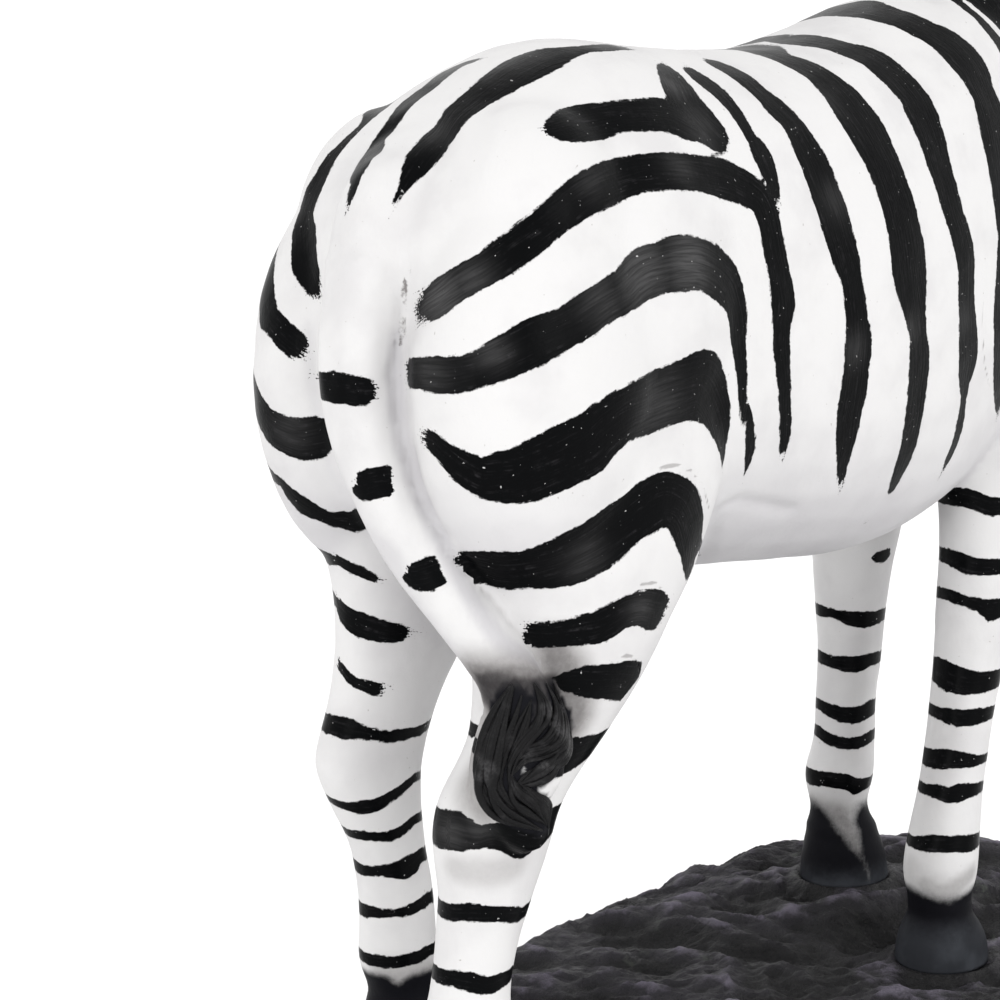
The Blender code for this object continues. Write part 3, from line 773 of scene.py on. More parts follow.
# Stripes in front of the picture's edge follow a rule. Side view: x and z at the crest, then lower down
shoulderStripes = [
    [(47, 172, 1.0), (50, 160, 2.6), (53, 145, 3.0), (54, 128, 2.7), (54, 112, 2.0), (52.5, 100, 1.0)],
    [(54, 177, 1.0), (58, 166, 2.6), (63, 152, 3.0), (66.5, 136, 2.8), (67.5, 120, 2.2), (66, 106, 1.2)],
    [(71.5, 146, 1.0), (76, 136, 2.4), (78, 124, 2.3), (77, 112, 1.2)],
]
frontStripes = {
    "neckCount": 8,
    "neckFirst": 0.2, "neckSpan": 0.66,          # shares of the way up the neck
    "neckHalf": 1.7, "neckSwell": 0.9, "neckTaper": 0.45, "neckBow": (1.8, 1.2),
    "throatShare": 0.94, "onMane": (11, 6),      # the stripe runs this far up into the mane
    "cheekCount": 6,
    "cheekHalf": 0.45, "cheekSwell": 0.75, "cheekBow": (2.6, 1.0),
    "cheekTop": ((109, 208), (129, 180)), "cheekLow": ((101, 182), (123, 169)),   # first and last, x and z
    "browOffsets": (0.0, 3.3, -3.3, 6.4, -6.4),
    "browFrom": 111, "browLength": 16, "browDraw": 0.45, "browHalf": 0.2, "browSwell": 0.35,
    "muzzlePlace": (140, 0, 163), "muzzleReach": 11.5, "muzzleDry": 0.3,
}


def neckStripe(share):
    # From the crest down to the throat, bowed towards the head
    crest = smoothRows([row[:2] for row in neckStations], 8)
    throat = smoothRows([row[2:4] for row in neckStations], 8)
    top = crest[int(share * (len(crest) - 1))]
    low = throat[int(min(1.0, share * frontStripes["throatShare"]) * (len(throat) - 1))]
    rise = (top - low) / np.linalg.norm(top - low)
    half, swell, (bowX, bowZ) = (frontStripes[key] for key in ("neckHalf", "neckSwell", "neckBow"))
    stations = [(*(top + rise * step), half) for step in frontStripes["onMane"]]
    for step in range(7):
        down = step / 6
        point = top + (low - top) * down
        bow = math.sin(math.pi * down)
        wide = (half + swell * bow) * (1 - frontStripes["neckTaper"] * share)
        stations.append((point[0] + bowX * bow, point[1] + bowZ * bow, wide))
    return stations


def headStripe(share):
    # Across the cheek, from the brow ridge back and down to the jaw
    start, end = (Vector(frontStripes[key][0]).lerp(Vector(frontStripes[key][1]), share)
                  for key in ("cheekTop", "cheekLow"))
    bowX, bowZ = frontStripes["cheekBow"]
    stations = []
    for step in range(6):
        point = start.lerp(end, step / 5)
        bow = math.sin(math.pi * step / 5)
        wide = frontStripes["cheekHalf"] + frontStripes["cheekSwell"] * bow
        stations.append((point.x + bowX * bow, point.y + bowZ * bow, wide))
    return stations


def browLine(tree, offset):
    # Fine lines down the forehead, drawing together over the nose
    rows = []
    for step in range(9):
        share = step / 8
        x = frontStripes["browFrom"] + frontStripes["browLength"] * share
        y = offset * (1 - frontStripes["browDraw"] * share)
        place = tree.ray_cast(Vector((x, y, 400)), Vector((0, 0, -1)))[0]
        if place is not None:
            swell = math.sin(math.pi * (0.1 + 0.85 * share))
            rows.append((*place, frontStripes["browHalf"] + frontStripes["browSwell"] * swell))
    return np.array(rows)


def paintFront(field, skin, onBody):
    stripes = [(stations, {}) for stations in shoulderStripes]
    for share in np.linspace(0, 1, frontStripes["neckCount"]):
        along = frontStripes["neckFirst"] + frontStripes["neckSpan"] * float(share)
        stripes.append((neckStripe(along), {"dryStart": 0.1}))
    for share in np.linspace(0, 1, frontStripes["cheekCount"]):
        stripes.append((headStripe(float(share)), {"dryStart": 0.8, "dryEnd": 0.8}))
    for stations, stroke in stripes:
        for side in (1, -1):
            rows = stationsOnSkin(skin["tree"], stations, side)
            if len(rows) > 2:
                addStroke(field, skin, settleOnSkin(skin["tree"], rows), onBody, stroke)
    for offset in frontStripes["browOffsets"]:
        addStroke(field, skin, browLine(skin["tree"], offset), onBody, {"dryStart": 1.0, "dryEnd": 1.5})
    away = (skin["points"] - frontStripes["muzzlePlace"]) * (0.9, 1, 1)
    muzzle = frontStripes["muzzleReach"] - np.linalg.norm(away, axis=1)
    dry = np.full(len(muzzle), frontStripes["muzzleDry"])
    brush = np.stack([skin["points"][:, 1] * 1.5, muzzle, dry], axis=1)
    takeOver(field, np.arange(len(muzzle)), muzzle, brush)


def legPlaces(name, points):
    # Angle round the middle of the leg, distance from it and the leg's own radius
    rows = smoothRows(limbRows(name), 6)
    rows = rows[np.argsort(rows[:, 2])]
    middle = np.stack([np.interp(points[:, 2], rows[:, 2], rows[:, column]) for column in (0, 1)], axis=1)
    reach = np.interp(points[:, 2], rows[:, 2], np.maximum(rows[:, 3], rows[:, 4]))
    away = points[:, :2] - middle
    return np.arctan2(away[:, 1], away[:, 0]), np.linalg.norm(away, axis=1), reach


legPaint = {
    "swell": 1.35, "margin": 1.5, "top": 104,   # skin this near the leg's middle, and lower, is the leg's
    "turns": 361,              # steps round a leg
    "mostTall": 12,            # a band taller than this at a station missed the leg there
    "joined": 0.6,             # radians between stations that still count as one seen part
    "extra": 0.22,             # millimetres added above and below
    "openAbove": 86,           # bands above this height stay open on the side that isn't seen
    "openReach": 0.5,          # how far they run on past the part that shows, in radians
    "thinning": 0.25, "thinnedBy": 1.2,   # other bands thin by this share, over this many radians
    "grain": 6, "dry": 0.10,
}
# Short bands run on less far
bandReach = {("foreLeft", 0): 0.15, ("hindRight", 0): 0.2}


def onLeg(name, points):
    side = 1 if name.endswith("Left") else -1
    away, reach = legPlaces(name, points)[1:]
    near = away < reach * legPaint["swell"] + legPaint["margin"]
    return (points[:, 1] * side > 0.5) & near & (points[:, 2] < legPaint["top"])


def bandStations(name, tree, band):
    # Angle round the leg and the band's upper and lower height there
    found = []
    for px, top, low in band:
        high, under = hitPixel(tree, px, top), hitPixel(tree, px, low)
        if high is None or under is None or np.linalg.norm(high - under) > legPaint["mostTall"]:
            continue
        found.append((legPlaces(name, np.array([(high + under) / 2]))[0][0], high[2], under[2]))
    return np.array(sorted(found))


def unseenGap(turns, angles):
    # How far each turn lies from the part that the picture shows
    seen = [angles] + [np.linspace(before, after, 9) for before, after in zip(angles, angles[1:])
                       if after - before < legPaint["joined"]]
    away = np.remainder(turns[:, None] - np.concatenate(seen) + math.pi, 2 * math.pi) - math.pi
    return np.abs(away).min(axis=1)


def bandProfile(key, turns, found):
    # Middle height and half height of a band all the way round
    high, under = (np.interp(turns, found[:, 0], found[:, column], period=2 * math.pi) for column in (1, 2))
    middle = (high + under) / 2
    half = (high - under) / 2 + legPaint["extra"]
    gap = unseenGap(turns, found[:, 0])
    reach = bandReach.get(key, legPaint["openReach"] if middle.mean() > legPaint["openAbove"] else 0)
    if reach:
        return middle, half * np.clip(1.1 - gap / reach, -2, 1)
    return middle, half * (1 - legPaint["thinning"] * np.clip(gap / legPaint["thinnedBy"], 0, 1))


def paintLegs(field, skin, onBody):
    turns = np.linspace(-math.pi, math.pi, legPaint["turns"])
    for name, bands in legBands.items():
        mine = np.flatnonzero(onLeg(name, skin["points"]) & onBody)
        angle = legPlaces(name, skin["points"][mine])[0]
        for place, band in enumerate(bands):
            found = bandStations(name, skin["tree"], band)
            if len(found) < 2:
                print("band left out", name, band[0])
                continue
            middle, half = bandProfile((name, place), turns, found)
            across = skin["points"][mine, 2] - np.interp(angle, turns, middle)
            inside = np.interp(angle, turns, half) - np.abs(across)
            dry = np.full(len(angle), legPaint["dry"])
            takeOver(field, mine, inside, np.stack([angle * legPaint["grain"], across, dry], axis=1))


# Soft airbrushed shading: strength as a share, then x and y in pixels and half width in millimetres
smokeStrokes = {
    "tailEnd": (0.8, [
        (476, 674, 2.4), (488, 680, 3.0), (506, 685, 3.6), (528, 686, 3.6), (545, 684, 3.0)]),
    "tailShade": (1.0, [
        (482, 682, 1.8), (498, 687, 2.2), (515, 690, 2.4), (535, 691, 2.4), (550, 688, 2.2)]),
    "besideTail": (0.5, [(553, 668, 1.0), (560, 684, 1.4), (566, 705, 1.8)]),
    "foreRightGrey": (0.14, [
        (948, 700, 2.4), (942, 760, 2.4), (932, 815, 2.2), (928, 860, 2.0)]),
    "foreLeftGrey": (0.1, [(862, 640, 1.6), (858, 700, 1.6), (856, 760, 1.6)]),
    "runLeft": (0.6, [(838, 812, 1.6), (848, 832, 1.5), (858, 855, 1.2)]),
    "runRight": (0.45, [
        (925, 884, 1.4), (942, 892, 1.6), (960, 884, 1.4), (972, 872, 1.0)]),
    "tailTip": (1.0, [(492, 690, 3.4), (505, 694, 3.6), (522, 700, 3.4)]),
    "beforeTuft": (0.6, [(463, 668, 2.2), (480, 690, 3.2), (486, 715, 2.4)]),
    "behindTuft": (0.75, [
        (556, 652, 2.6), (567, 684, 3.4), (574, 712, 3.0), (568, 735, 2.0)]),
    "besideTuft": (0.65, [(474, 745, 2.6), (470, 775, 3.4), (484, 812, 2.6)]),
    "belowHock": (0.3, [(455, 868, 1.6), (485, 872, 2.0), (515, 868, 1.4)]),
    "aboveHoof": (0.5, [(385, 975, 2.0), (405, 978, 2.5), (425, 972, 2.0)]),
    "kneeRight": (0.25, [(912, 868, 2.0), (930, 885, 2.5), (950, 893, 2.0)]),
    "pasternLeft": (0.5, [(815, 808, 2.5), (840, 815, 2.2)]),
}
# Soft painted shade along the grooves
grooveShadeStrokes = {
    "besideTail": (0.75, [
        (396, 335, 0.5), (395, 365, 0.8), (396, 410, 1.0), (404, 450, 1.0), (427, 510, 1.1), (452, 562, 1.1),
        (474, 602, 1.2), (504, 642, 1.3), (540, 668, 1.0)]),
    "leftOfTail": (0.4, [
        (309, 330, 0.7), (312, 380, 0.9), (322, 430, 1.0), (345, 490, 1.0), (372, 535, 1.1), (400, 580, 1.2),
        (440, 640, 1.5)]),
    "seatCleft": (0.3, [(325, 560, 2.0), (380, 590, 2.5), (430, 625, 2.5)]),
}
# Painted highlights, a grey sheen on the black paint: pixel, spread in millimetres and strength
sheenPatches = [
    (440, 298, 3.6, 0.9), (470, 280, 3.0, 0.5), (430, 372, 3.6, 0.35), (492, 352, 2.4, 0.45),
    (600, 300, 4.0, 0.4), (640, 272, 5.0, 0.8), (690, 262, 4.6, 0.9), (660, 405, 5.0, 0.4),
    (700, 130, 3.4, 0.35), (668, 84, 2.6, 0.5), (855, 350, 2.6, 0.35), (910, 330, 2.6, 0.35),
    (965, 320, 2.4, 0.3), (835, 200, 3.2, 0.3), (500, 60, 4.0, 0.4), (820, 100, 3.0, 0.3),
    (590, 180, 3.0, 0.3), (680, 165, 3.0, 0.3), (585, 560, 3.2, 0.3), (640, 610, 2.6, 0.4),
    (450, 832, 2.6, 0.5), (478, 825, 2.0, 0.6), (290, 430, 3.2, 0.35), (430, 128, 3.0, 0.35),
]
crackStations = [
    (408, 268, 0.3), (404, 290, 0.4), (402, 315, 0.3), (401, 330, 0.5), (400, 347, 0.3),
]
# Fine carved lines that run round the ends of some stripes, in pixels; painted shade darkens them
carvedLines = {
    "overFour": [(655, 472), (668, 466), (682, 467), (695, 475), (704, 490), (709, 508)],
    "overFive": [(640, 584), (652, 583), (662, 588), (668, 599)],
    "overBand": [(620, 655), (631, 657), (638, 664), (640, 672)],
    "besideFlank": [(985, 300), (983, 330), (984, 360), (989, 390)],
}
# The fold where the flank meets the belly, in pixels
flankFold = [(690, 590), (700, 560), (715, 522), (735, 503), (758, 505), (790, 510)]
# Where the white runs down over a dark hoof
paleRuns = {
    "foreLeftRun": (0.6, [
        (836, 798, 3.2), (842, 812, 2.5), (847, 826, 1.7), (855, 842, 1.1)]),
    "foreLeftTrail": (0.25, [(858, 850, 0.9), (865, 864, 0.8), (870, 880, 0.7)]),
    "foreRightRun": (0.8, [(936, 872, 3.6), (950, 876, 3.8), (962, 872, 3.0)]),
    "hindLeftRun": (0.6, [(400, 966, 1.6), (398, 980, 0.8)]),
}
hoofPaint = {
    # pixel where the dark starts and pixel where it is full
    "foreLeft": ((835, 790), (835, 822)),
    "foreRight": ((925, 878), (925, 902)),
    "hindLeft": ((405, 966), (405, 984)),
    "hindRightAbove": 3.0,           # this hoof is cut off: millimetres above the other hind hoof's edge
}


def pixelRows(tree, stations):
    rows = []
    for px, py, half in stations:
        place = hitPixel(tree, px, py)
        if place is not None:
            rows.append((*place, half))
    return settleOnSkin(tree, np.array(rows))


def softShare(skin, stroke):
    # One in the middle of a soft stroke, nothing at twice its half width
    strength, stations = stroke
    rows = pixelRows(skin["tree"], stations)
    chosen, inside = strokeField(skin, rows, everywhere(skin))[:2]
    half = rows[:, 3].mean()
    value = np.zeros(len(skin["points"]))
    value[chosen] = ramp(inside, -half, half * 0.6)
    return strength * value


def strongest(skin, strokes):
    share = np.zeros(len(skin["points"]))
    for stroke in strokes.values():
        share = np.maximum(share, softShare(skin, stroke))
    return share


def lineField(skin, stations):
    # Distance from a fine line, given in pixels
    rows = pixelRows(skin["tree"], stations)
    chosen, inside = strokeField(skin, rows, everywhere(skin))[:2]
    value = np.full(len(skin["points"]), strokeRules["outside"])
    value[chosen] = np.minimum(value[chosen], rows[:, 3].mean() - inside)
    return value


def thinLine(skin, pixels):
    return lineField(skin, [(px, py, 0.1) for px, py in pixels])


# Spans are where each share starts and where it is full: a turn of the skin, or a height in millimetres
shadeRules = {
    "under": 0.7, "underTurn": (0.05, 0.75), "underFrom": (62, 76), "underTo": (100, 112),
    "between": 0.12, "betweenTurn": (0.3, 0.9), "betweenFrom": (20, 60),
    "fold": 0.6, "foldReach": 1.1,
    "hairEdge": (-0.3, 0.4), "hairTo": (68.5, 74),
}


def shadeShare(skin, fold):
    # Grey under the belly, between the legs, in the flank fold and in the painted grooves
    normals, height = skin["normals"], skin["points"][:, 2]
    inward = -normals[:, 1] * np.sign(skin["points"][:, 1])
    under = ramp(-normals[:, 2], *shadeRules["underTurn"]) * ramp(height, *shadeRules["underFrom"])
    under *= 1 - ramp(height, *shadeRules["underTo"])
    between = ramp(inward, *shadeRules["betweenTurn"]) * ramp(height, *shadeRules["betweenFrom"])
    shade = under * shadeRules["under"] + between * shadeRules["between"]
    shade = np.maximum(shade, shadeRules["fold"] * bell(fold, shadeRules["foldReach"]))
    return np.clip(np.maximum(shade, strongest(skin, grooveShadeStrokes)), 0, 1)


def darkShare(skin):
    # Dark hooves with the white runs over them, and the skin under the tuft
    points, tree = skin["points"], skin["tree"]
    levels = {name: [hitPixel(tree, *pixel)[2] for pixel in pixels]
              for name, pixels in hoofPaint.items() if not name.endswith("Above")}
    levels["hindRight"] = [level + hoofPaint["hindRightAbove"] for level in levels["hindLeft"]]
    dark = np.zeros(len(points))
    for name in hoofPlaces:
        start, full = levels[name]
        print("hoof paint", name, round(float(start), 1), round(float(full), 1))
        mine = onLeg(name, points)
        dark[mine] = np.maximum(dark[mine], (1 - ramp(points[:, 2], full, start))[mine])
    for run in paleRuns.values():
        dark *= 1 - softShare(skin, run)
    hair = np.full(len(points), -9.0)
    for row in (row for rows in lockRows(tree) for row in rows):
        hair = np.maximum(hair, row[3] - np.linalg.norm(points - row[:3], axis=1))
    covered = ramp(hair, *shadeRules["hairEdge"]) * (1 - ramp(points[:, 2], *shadeRules["hairTo"]))
    return np.maximum(dark, covered)


def paintedSheenShares(skin):
    # Painted highlights: a grey sheen on the black paint round each listed spot
    paintedSheen = np.zeros(len(skin["points"]))
    for px, py, reach, strength in sheenPatches:
        place = hitPixel(skin["tree"], px, py)
        if place is not None:
            away = np.linalg.norm(skin["points"] - place, axis=1)
            paintedSheen = np.maximum(paintedSheen, strength * bell(away, reach))
    return paintedSheen


# Skin that is the tail's: within this many half widths, behind this x and between these heights
tailRules = {"reach": 1.12, "front": -62, "low": 68, "high": 124, "strokeReach": 3}


def tailPlaces(points):
    # Distance from the middle of the tail, counted in its own half widths
    nearest = np.full(len(points), 1e3)
    for row in smoothRows(tailStations, 6):
        nearest = np.minimum(nearest, np.linalg.norm(points - row[:3], axis=1) / max(row[3], row[4]))
    return nearest


def tailMask(points, tailAway):
    near = (tailAway < tailRules["reach"]) & (points[:, 0] < tailRules["front"])
    return near & (points[:, 2] < tailRules["high"]) & (points[:, 2] > tailRules["low"])


# Modelling that the mesh carries: depths, heights and reaches in millimetres
carving = {
    "unevenness": 0.22, "unevenSize": 11.0, "fineSize": 4.2, "fineShare": 0.35,
    "tailGroove": 0.7, "tailGrooveAt": 1.25, "tailGrooveReach": 0.3, "tailGrooveFrom": 66,
    "flankFold": 0.6, "flankReach": 1.3,
    "mouth": 0.7, "mouthReach": 0.9,
    "nostril": 1.5, "nostrilReach": 1.5, "nostrilForm": (1.0, 1.3, 0.8),
    "eyeSocket": 0.8, "socketReach": 2.2, "socketForm": (0.8, 0.5, 1.0),
    "lidRise": 0.5, "lidAt": 3.4, "lidReach": 0.9,
    "earHollow": 2.2, "earNarrowing": 1.6, "earReach": 8,
    "coronet": 0.15, "coronetAbove": 11.5, "coronetReach": 0.9,
    "hoofGroove": 0.6, "hoofGrooveBelow": 2.2, "hoofGrooveReach": 1.0,
    "maneGroove": 0.35, "maneGrooveStep": 3.4,
}
nostrilPlace = (140.2, 4.6, 166.0)
eyePlace = (113.8, 11.6, 205.0)
mouthLine = [(139.5, 0.0, 160.0), (136, 5.5, 160.0), (130, 7.0, 163.0), (125.5, 7.6, 166.5)]


def alongLine(points, line):
    nearest = np.full(len(points), 1e3)
    for start, end in zip(np.array(line, float), np.array(line[1:], float)):
        span = end - start
        share = np.clip((points - start) @ span / (span @ span), 0, 1)
        nearest = np.minimum(nearest, np.linalg.norm(points - start - share[:, None] * span, axis=1))
    return nearest


def uneven(points, size, shift=(0, 0, 0)):
    return np.array([noise.noise(Vector(point) / size + Vector(shift)) for point in points])


def faceLift(lift, points):
    # Mouth line, nostrils and eye sockets with their lids, alike on both sides
    oneSide = points * (1, 0, 1) + np.abs(points) * (0, 1, 0)
    lift -= bell(alongLine(oneSide, mouthLine), carving["mouthReach"]) * carving["mouth"]
    nostril = np.linalg.norm((oneSide - nostrilPlace) * carving["nostrilForm"], axis=1)
    lift -= bell(nostril, carving["nostrilReach"]) * carving["nostril"]
    eye = np.linalg.norm((oneSide - eyePlace) * carving["socketForm"], axis=1)
    lid = carving["lidRise"] * bell(eye - carving["lidAt"], carving["lidReach"])
    lift += (lid - bell(eye, carving["socketReach"])) * carving["eyeSocket"]


def earLift(lift, points, normals):
    for side in (1, -1):
        root, tip, way, across, through = (np.array(part) for part in earFrame(side))
        away = points - root
        length = np.linalg.norm(tip - root)
        share = away @ way / length
        wide = away @ across / earShape["halfWidth"]
        front = normals @ (through if through[0] > 0 else -through)
        hollow = np.clip(1 - wide ** 2 * carving["earNarrowing"], 0, 1)
        hollow *= np.clip(np.sin(math.pi * np.clip(share * 1.15 - 0.12, 0, 1)), 0, 1)
        near = np.linalg.norm(away - share[:, None] * way * length, axis=1) < carving["earReach"]
        hollow *= ramp(front, 0.1, 0.6) * near
        lift -= hollow * carving["earHollow"]


def maneLift(lift, points):
    # Grooves across the mane, at even steps along its root
    crest = smoothRows([row[:2] for row in maneStations], 8)
    ids = np.flatnonzero((np.abs(points[:, 1]) < 5) & (points[:, 2] > 168) & (points[:, 0] < 116))
    gaps = np.linalg.norm(points[ids][:, None, (0, 2)] - crest[None], axis=2)
    runs = np.concatenate([[0], np.cumsum(np.linalg.norm(np.diff(crest, axis=0), axis=1))])
    wave = np.sin(runs[gaps.argmin(axis=1)] * 2 * math.pi / carving["maneGrooveStep"])
    above = ramp(gaps.min(axis=1), 2.5, 6)
    lift[ids] -= wave * carving["maneGroove"] * above * ramp(np.abs(points[ids, 1]), 0.6, 2)


def hoofLift(lift, points):
    # A raised ring above each hoof with a groove under it
    for name, place in hoofPlaces.items():
        mine = onLeg(name, points)
        above = points[:, 2] - (place[2] + carving["coronetAbove"])
        groove = bell(above + carving["hoofGrooveBelow"], carving["hoofGrooveReach"])
        ring = bell(above, carving["coronetReach"]) - carving["hoofGroove"] * groove
        lift[mine] += (ring * carving["coronet"])[mine]


def carveSkin(skin, onTail, tailAway, fold):
    points = skin["points"]
    lift = uneven(points, carving["unevenSize"]) * carving["unevenness"]
    fine = uneven(points, carving["fineSize"], (9, 3, 5))
    lift += fine * carving["unevenness"] * carving["fineShare"]
    groove = bell(tailAway - carving["tailGrooveAt"], carving["tailGrooveReach"])
    lift -= groove * ~onTail * (points[:, 2] > carving["tailGrooveFrom"]) * carving["tailGroove"]
    lift -= bell(fold, carving["flankReach"]) * carving["flankFold"]
    faceLift(lift, points)
    earLift(lift, points, skin["normals"])
    maneLift(lift, points)
    hoofLift(lift, points)
    return lift


def insideBox(placed, node, margin=0.0):
    # Metres in the row frame, kept inside the solid's own box
    low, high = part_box(node)
    return np.clip(placed, np.array(low) + margin, np.array(high) - margin)


def placePoints(mesh, points, node):
    placed = points * mm + np.array((0, 0, groundHeight * mm))
    mesh.vertices.foreach_set("co", insideBox(placed, node, 0.00001).ravel())


def setAttribute(mesh, name, values):
    kind = "FLOAT" if values.ndim == 1 else "FLOAT_VECTOR"
    layer = mesh.attributes.new(name, kind, "POINT")
    layer.data.foreach_set("value" if values.ndim == 1 else "vector", values.astype(np.float32).ravel())


# Node helpers: sockets and nodes know the tree that they belong to
def makeMaterial(name):
    material = bpy.data.materials.new(name)
    material.use_nodes = True
    return material, material.node_tree, material.node_tree.nodes["Principled BSDF"]


def addNode(tree, kind, settings=None, **inputs):
    node = tree.nodes.new(kind)
    for name, value in (settings or {}).items():
        setattr(node, name, value)
    for name, value in inputs.items():
        socket = node.inputs[int(name[5:])] if name.startswith("input") else node.inputs[name]
        feed(socket, value)
    return node


def feed(socket, value):
    if hasattr(value, "outputs"):
        socket.id_data.links.new(value.outputs[0], socket)
    elif hasattr(value, "is_output"):
        socket.id_data.links.new(value, socket)
    else:
        socket.default_value = value


def reckon(operation, *values):
    tree = next(value.id_data for value in values if hasattr(value, "id_data"))
    node = tree.nodes.new("ShaderNodeMath")
    node.operation = operation
    for socket, value in zip(node.inputs, values):
        feed(socket, value)
    return node


def times(first, second):
    return reckon("MULTIPLY", first, second)


def plus(first, second):
    return reckon("ADD", first, second)


def minus(first, second):
    return reckon("SUBTRACT", first, second)


def objectPlace(tree):
    # Place on the object in millimetres
    place = addNode(tree, "ShaderNodeTexCoord").outputs["Object"]
    scaled = addNode(tree, "ShaderNodeVectorMath", {"operation": "SCALE"}, Vector=place, Scale=1000.0)
    return scaled.outputs[0]


def spread(value, low, high, outLow=0.0, outHigh=1.0):
    # Smooth step between two values
    node = value.id_data.nodes.new("ShaderNodeMapRange")
    node.interpolation_type = "SMOOTHSTEP"
    for socket, item in zip(node.inputs, (value, low, high, outLow, outHigh)):
        feed(socket, item)
    return node


def blend(share, first, second):
    node = share.id_data.nodes.new("ShaderNodeMix")
    node.data_type = "RGBA"
    feed(node.inputs[0], share)
    feed(node.inputs[6], first)
    feed(node.inputs[7], second)
    return node.outputs[2]


def readAttribute(tree, name, output="Fac"):
    node = tree.nodes.new("ShaderNodeAttribute")
    node.attribute_name = name
    return node.outputs[output]


def finishShader(shader, paint, colour, roughness, relief=None):
    # Colour, roughness, shine and, where there is a relief, its bumps
    feed(shader.inputs["Base Color"], colour)
    feed(shader.inputs["Roughness"], roughness)
    shader.inputs["Specular IOR Level"].default_value = paint["specular"]
    if relief is not None:
        strength, distance = paint["bump"]
        bump = addNode(shader.id_data, "ShaderNodeBump", Height=relief, Strength=strength, Distance=distance)
        feed(shader.inputs["Normal"], bump)


def grainNoise(place, scale, detail=2.0, roughness=0.5):
    node = place.id_data.nodes.new("ShaderNodeTexNoise")
    feed(node.inputs["Vector"], place)
    node.inputs["Scale"].default_value = scale
    node.inputs["Detail"].default_value = detail
    node.inputs["Roughness"].default_value = roughness
    return node.outputs["Fac"]


figurePaint = {
    "white": (0.645, 0.638, 0.636, 1),
    "whiteWorn": (0.585, 0.576, 0.578, 1),
    "lilac": (0.43, 0.418, 0.44, 1),
    "smoke": (0.105, 0.092, 0.088, 1),
    "black": (0.0018, 0.0020, 0.0023, 1),
    "greyBlack": (0.022, 0.021, 0.023, 1),
    "hoof": (0.007, 0.007, 0.009, 1),
    "hoofLow": (0.050, 0.054, 0.062, 1),
    # grey of the painted highlights on the black paint
    "sheenBlack": (0.075, 0.074, 0.075, 1),
    "speck": (0.30, 0.28, 0.26, 1),
    "specular": 0.035,
    "bump": (0.55, 0.0004),          # strength, and height in metres
    "bristleAlong": 0.16, "bristleAcross": 2.6, "bristleDrift": 0.02,
    "edgeRagged": 0.8, "fineRagged": 0.35,   # millimetres that a stroke's edge wanders
    "bareFrom": 0.82, "bareDepth": 5.0,      # how a dry brush leaves the white bare
    "shadeStrength": 0.75, "lineShade": 0.45,
    "whiteRough": 0.5, "blackRough": 0.30, "dragRough": 0.12,
    "inkHeight": 0.22, "bristleHeight": 0.25, "lineDepth": 0.5, "crackDepth": 0.3, "castHeight": 0.30,
}
# Soft steps: where each starts and is full, then the values there
figureSteps = {
    "covered": (-0.12, 0.12),
    "nick": (0.735, 0.76),
    "mottle": (0.42, 0.72),
    "speck": (0.74, 0.78, 0.0, 0.6),
    "smokeGrain": (0.25, 0.7, 0.85, 1.0),
    "smokeDeep": (0.6, 1.05, 0.0, 0.85),
    "line": (0.16, 0.42, 1.0, 0.0),
    "crack": (0.1, 0.4, 0.8, 0.0),
    "dragStreak": (0.5, 0.8),
    "dragEdge": (0.4, 0.7),
    # how the painted highlights follow the bristle streaks
    "sheenStreak": (0.25, 0.7, 0.45, 1.1),
    "dust": (0.75, 0.78, 0.0, 0.7),
    "hoofEdge": (0.12, 0.88),
    "hoofLow": (17.5, 23.5, 1.0, 0.0),
    "hoofMottle": (0.0, 1.0, 0.45, 1.0),
}


def figureStep(name, value):
    return spread(value, *figureSteps[name])


def strokeStreak(tree, brush):
    # Bristle marks run along each stroke
    along, across = brush.outputs[:2]
    place = addNode(tree, "ShaderNodeCombineXYZ", X=times(along, figurePaint["bristleAlong"]),
                    Y=times(across, figurePaint["bristleAcross"]),
                    Z=times(along, figurePaint["bristleDrift"]))
    return grainNoise(place, 1.0, 3.0, 0.6)


def whitePaint(place, mottle, shade, smoke):
    # White, a little worn and tinted, with grey shading and smoke over it
    paint = blend(mottle, figurePaint["white"], figurePaint["whiteWorn"])
    speck = figureStep("speck", grainNoise(place, 1.3, 2.0, 0.5))
    paint = blend(speck, paint, figurePaint["speck"])
    paint = blend(times(shade, figurePaint["shadeStrength"]), paint, figurePaint["lilac"])
    uneven = figureStep("smokeGrain", grainNoise(place, 0.9, 4.0, 0.7))
    paint = blend(times(smoke, uneven), paint, figurePaint["smoke"])
    return blend(figureStep("smokeDeep", smoke), paint, figurePaint["greyBlack"])


def blackPaint(tree, place, streak, drag):
    # Black, greyer where the bristles dragged, with painted highlights (a grey sheen) over it
    paint = blend(drag, figurePaint["black"], figurePaint["greyBlack"])
    # Painted highlight: grey sheen over the black
    paintedSheen = times(readAttribute(tree, "paintedSheen"), figureStep("sheenStreak", streak))
    paint = blend(paintedSheen, paint, figurePaint["sheenBlack"])
    dust = figureStep("dust", grainNoise(place, 2.1, 2.0, 0.4))
    return blend(dust, paint, figurePaint["white"])


def hoofColour(tree, place, mottle, ragged):
    # Dark hooves turn blue-grey towards the ground
    height = addNode(tree, "ShaderNodeSeparateXYZ", Vector=place).outputs[2]
    low = figureStep("hoofLow", plus(height, times(ragged, 2.5)))
    low = times(low, figureStep("hoofMottle", mottle))
    return blend(low, figurePaint["hoof"], figurePaint["hoofLow"])


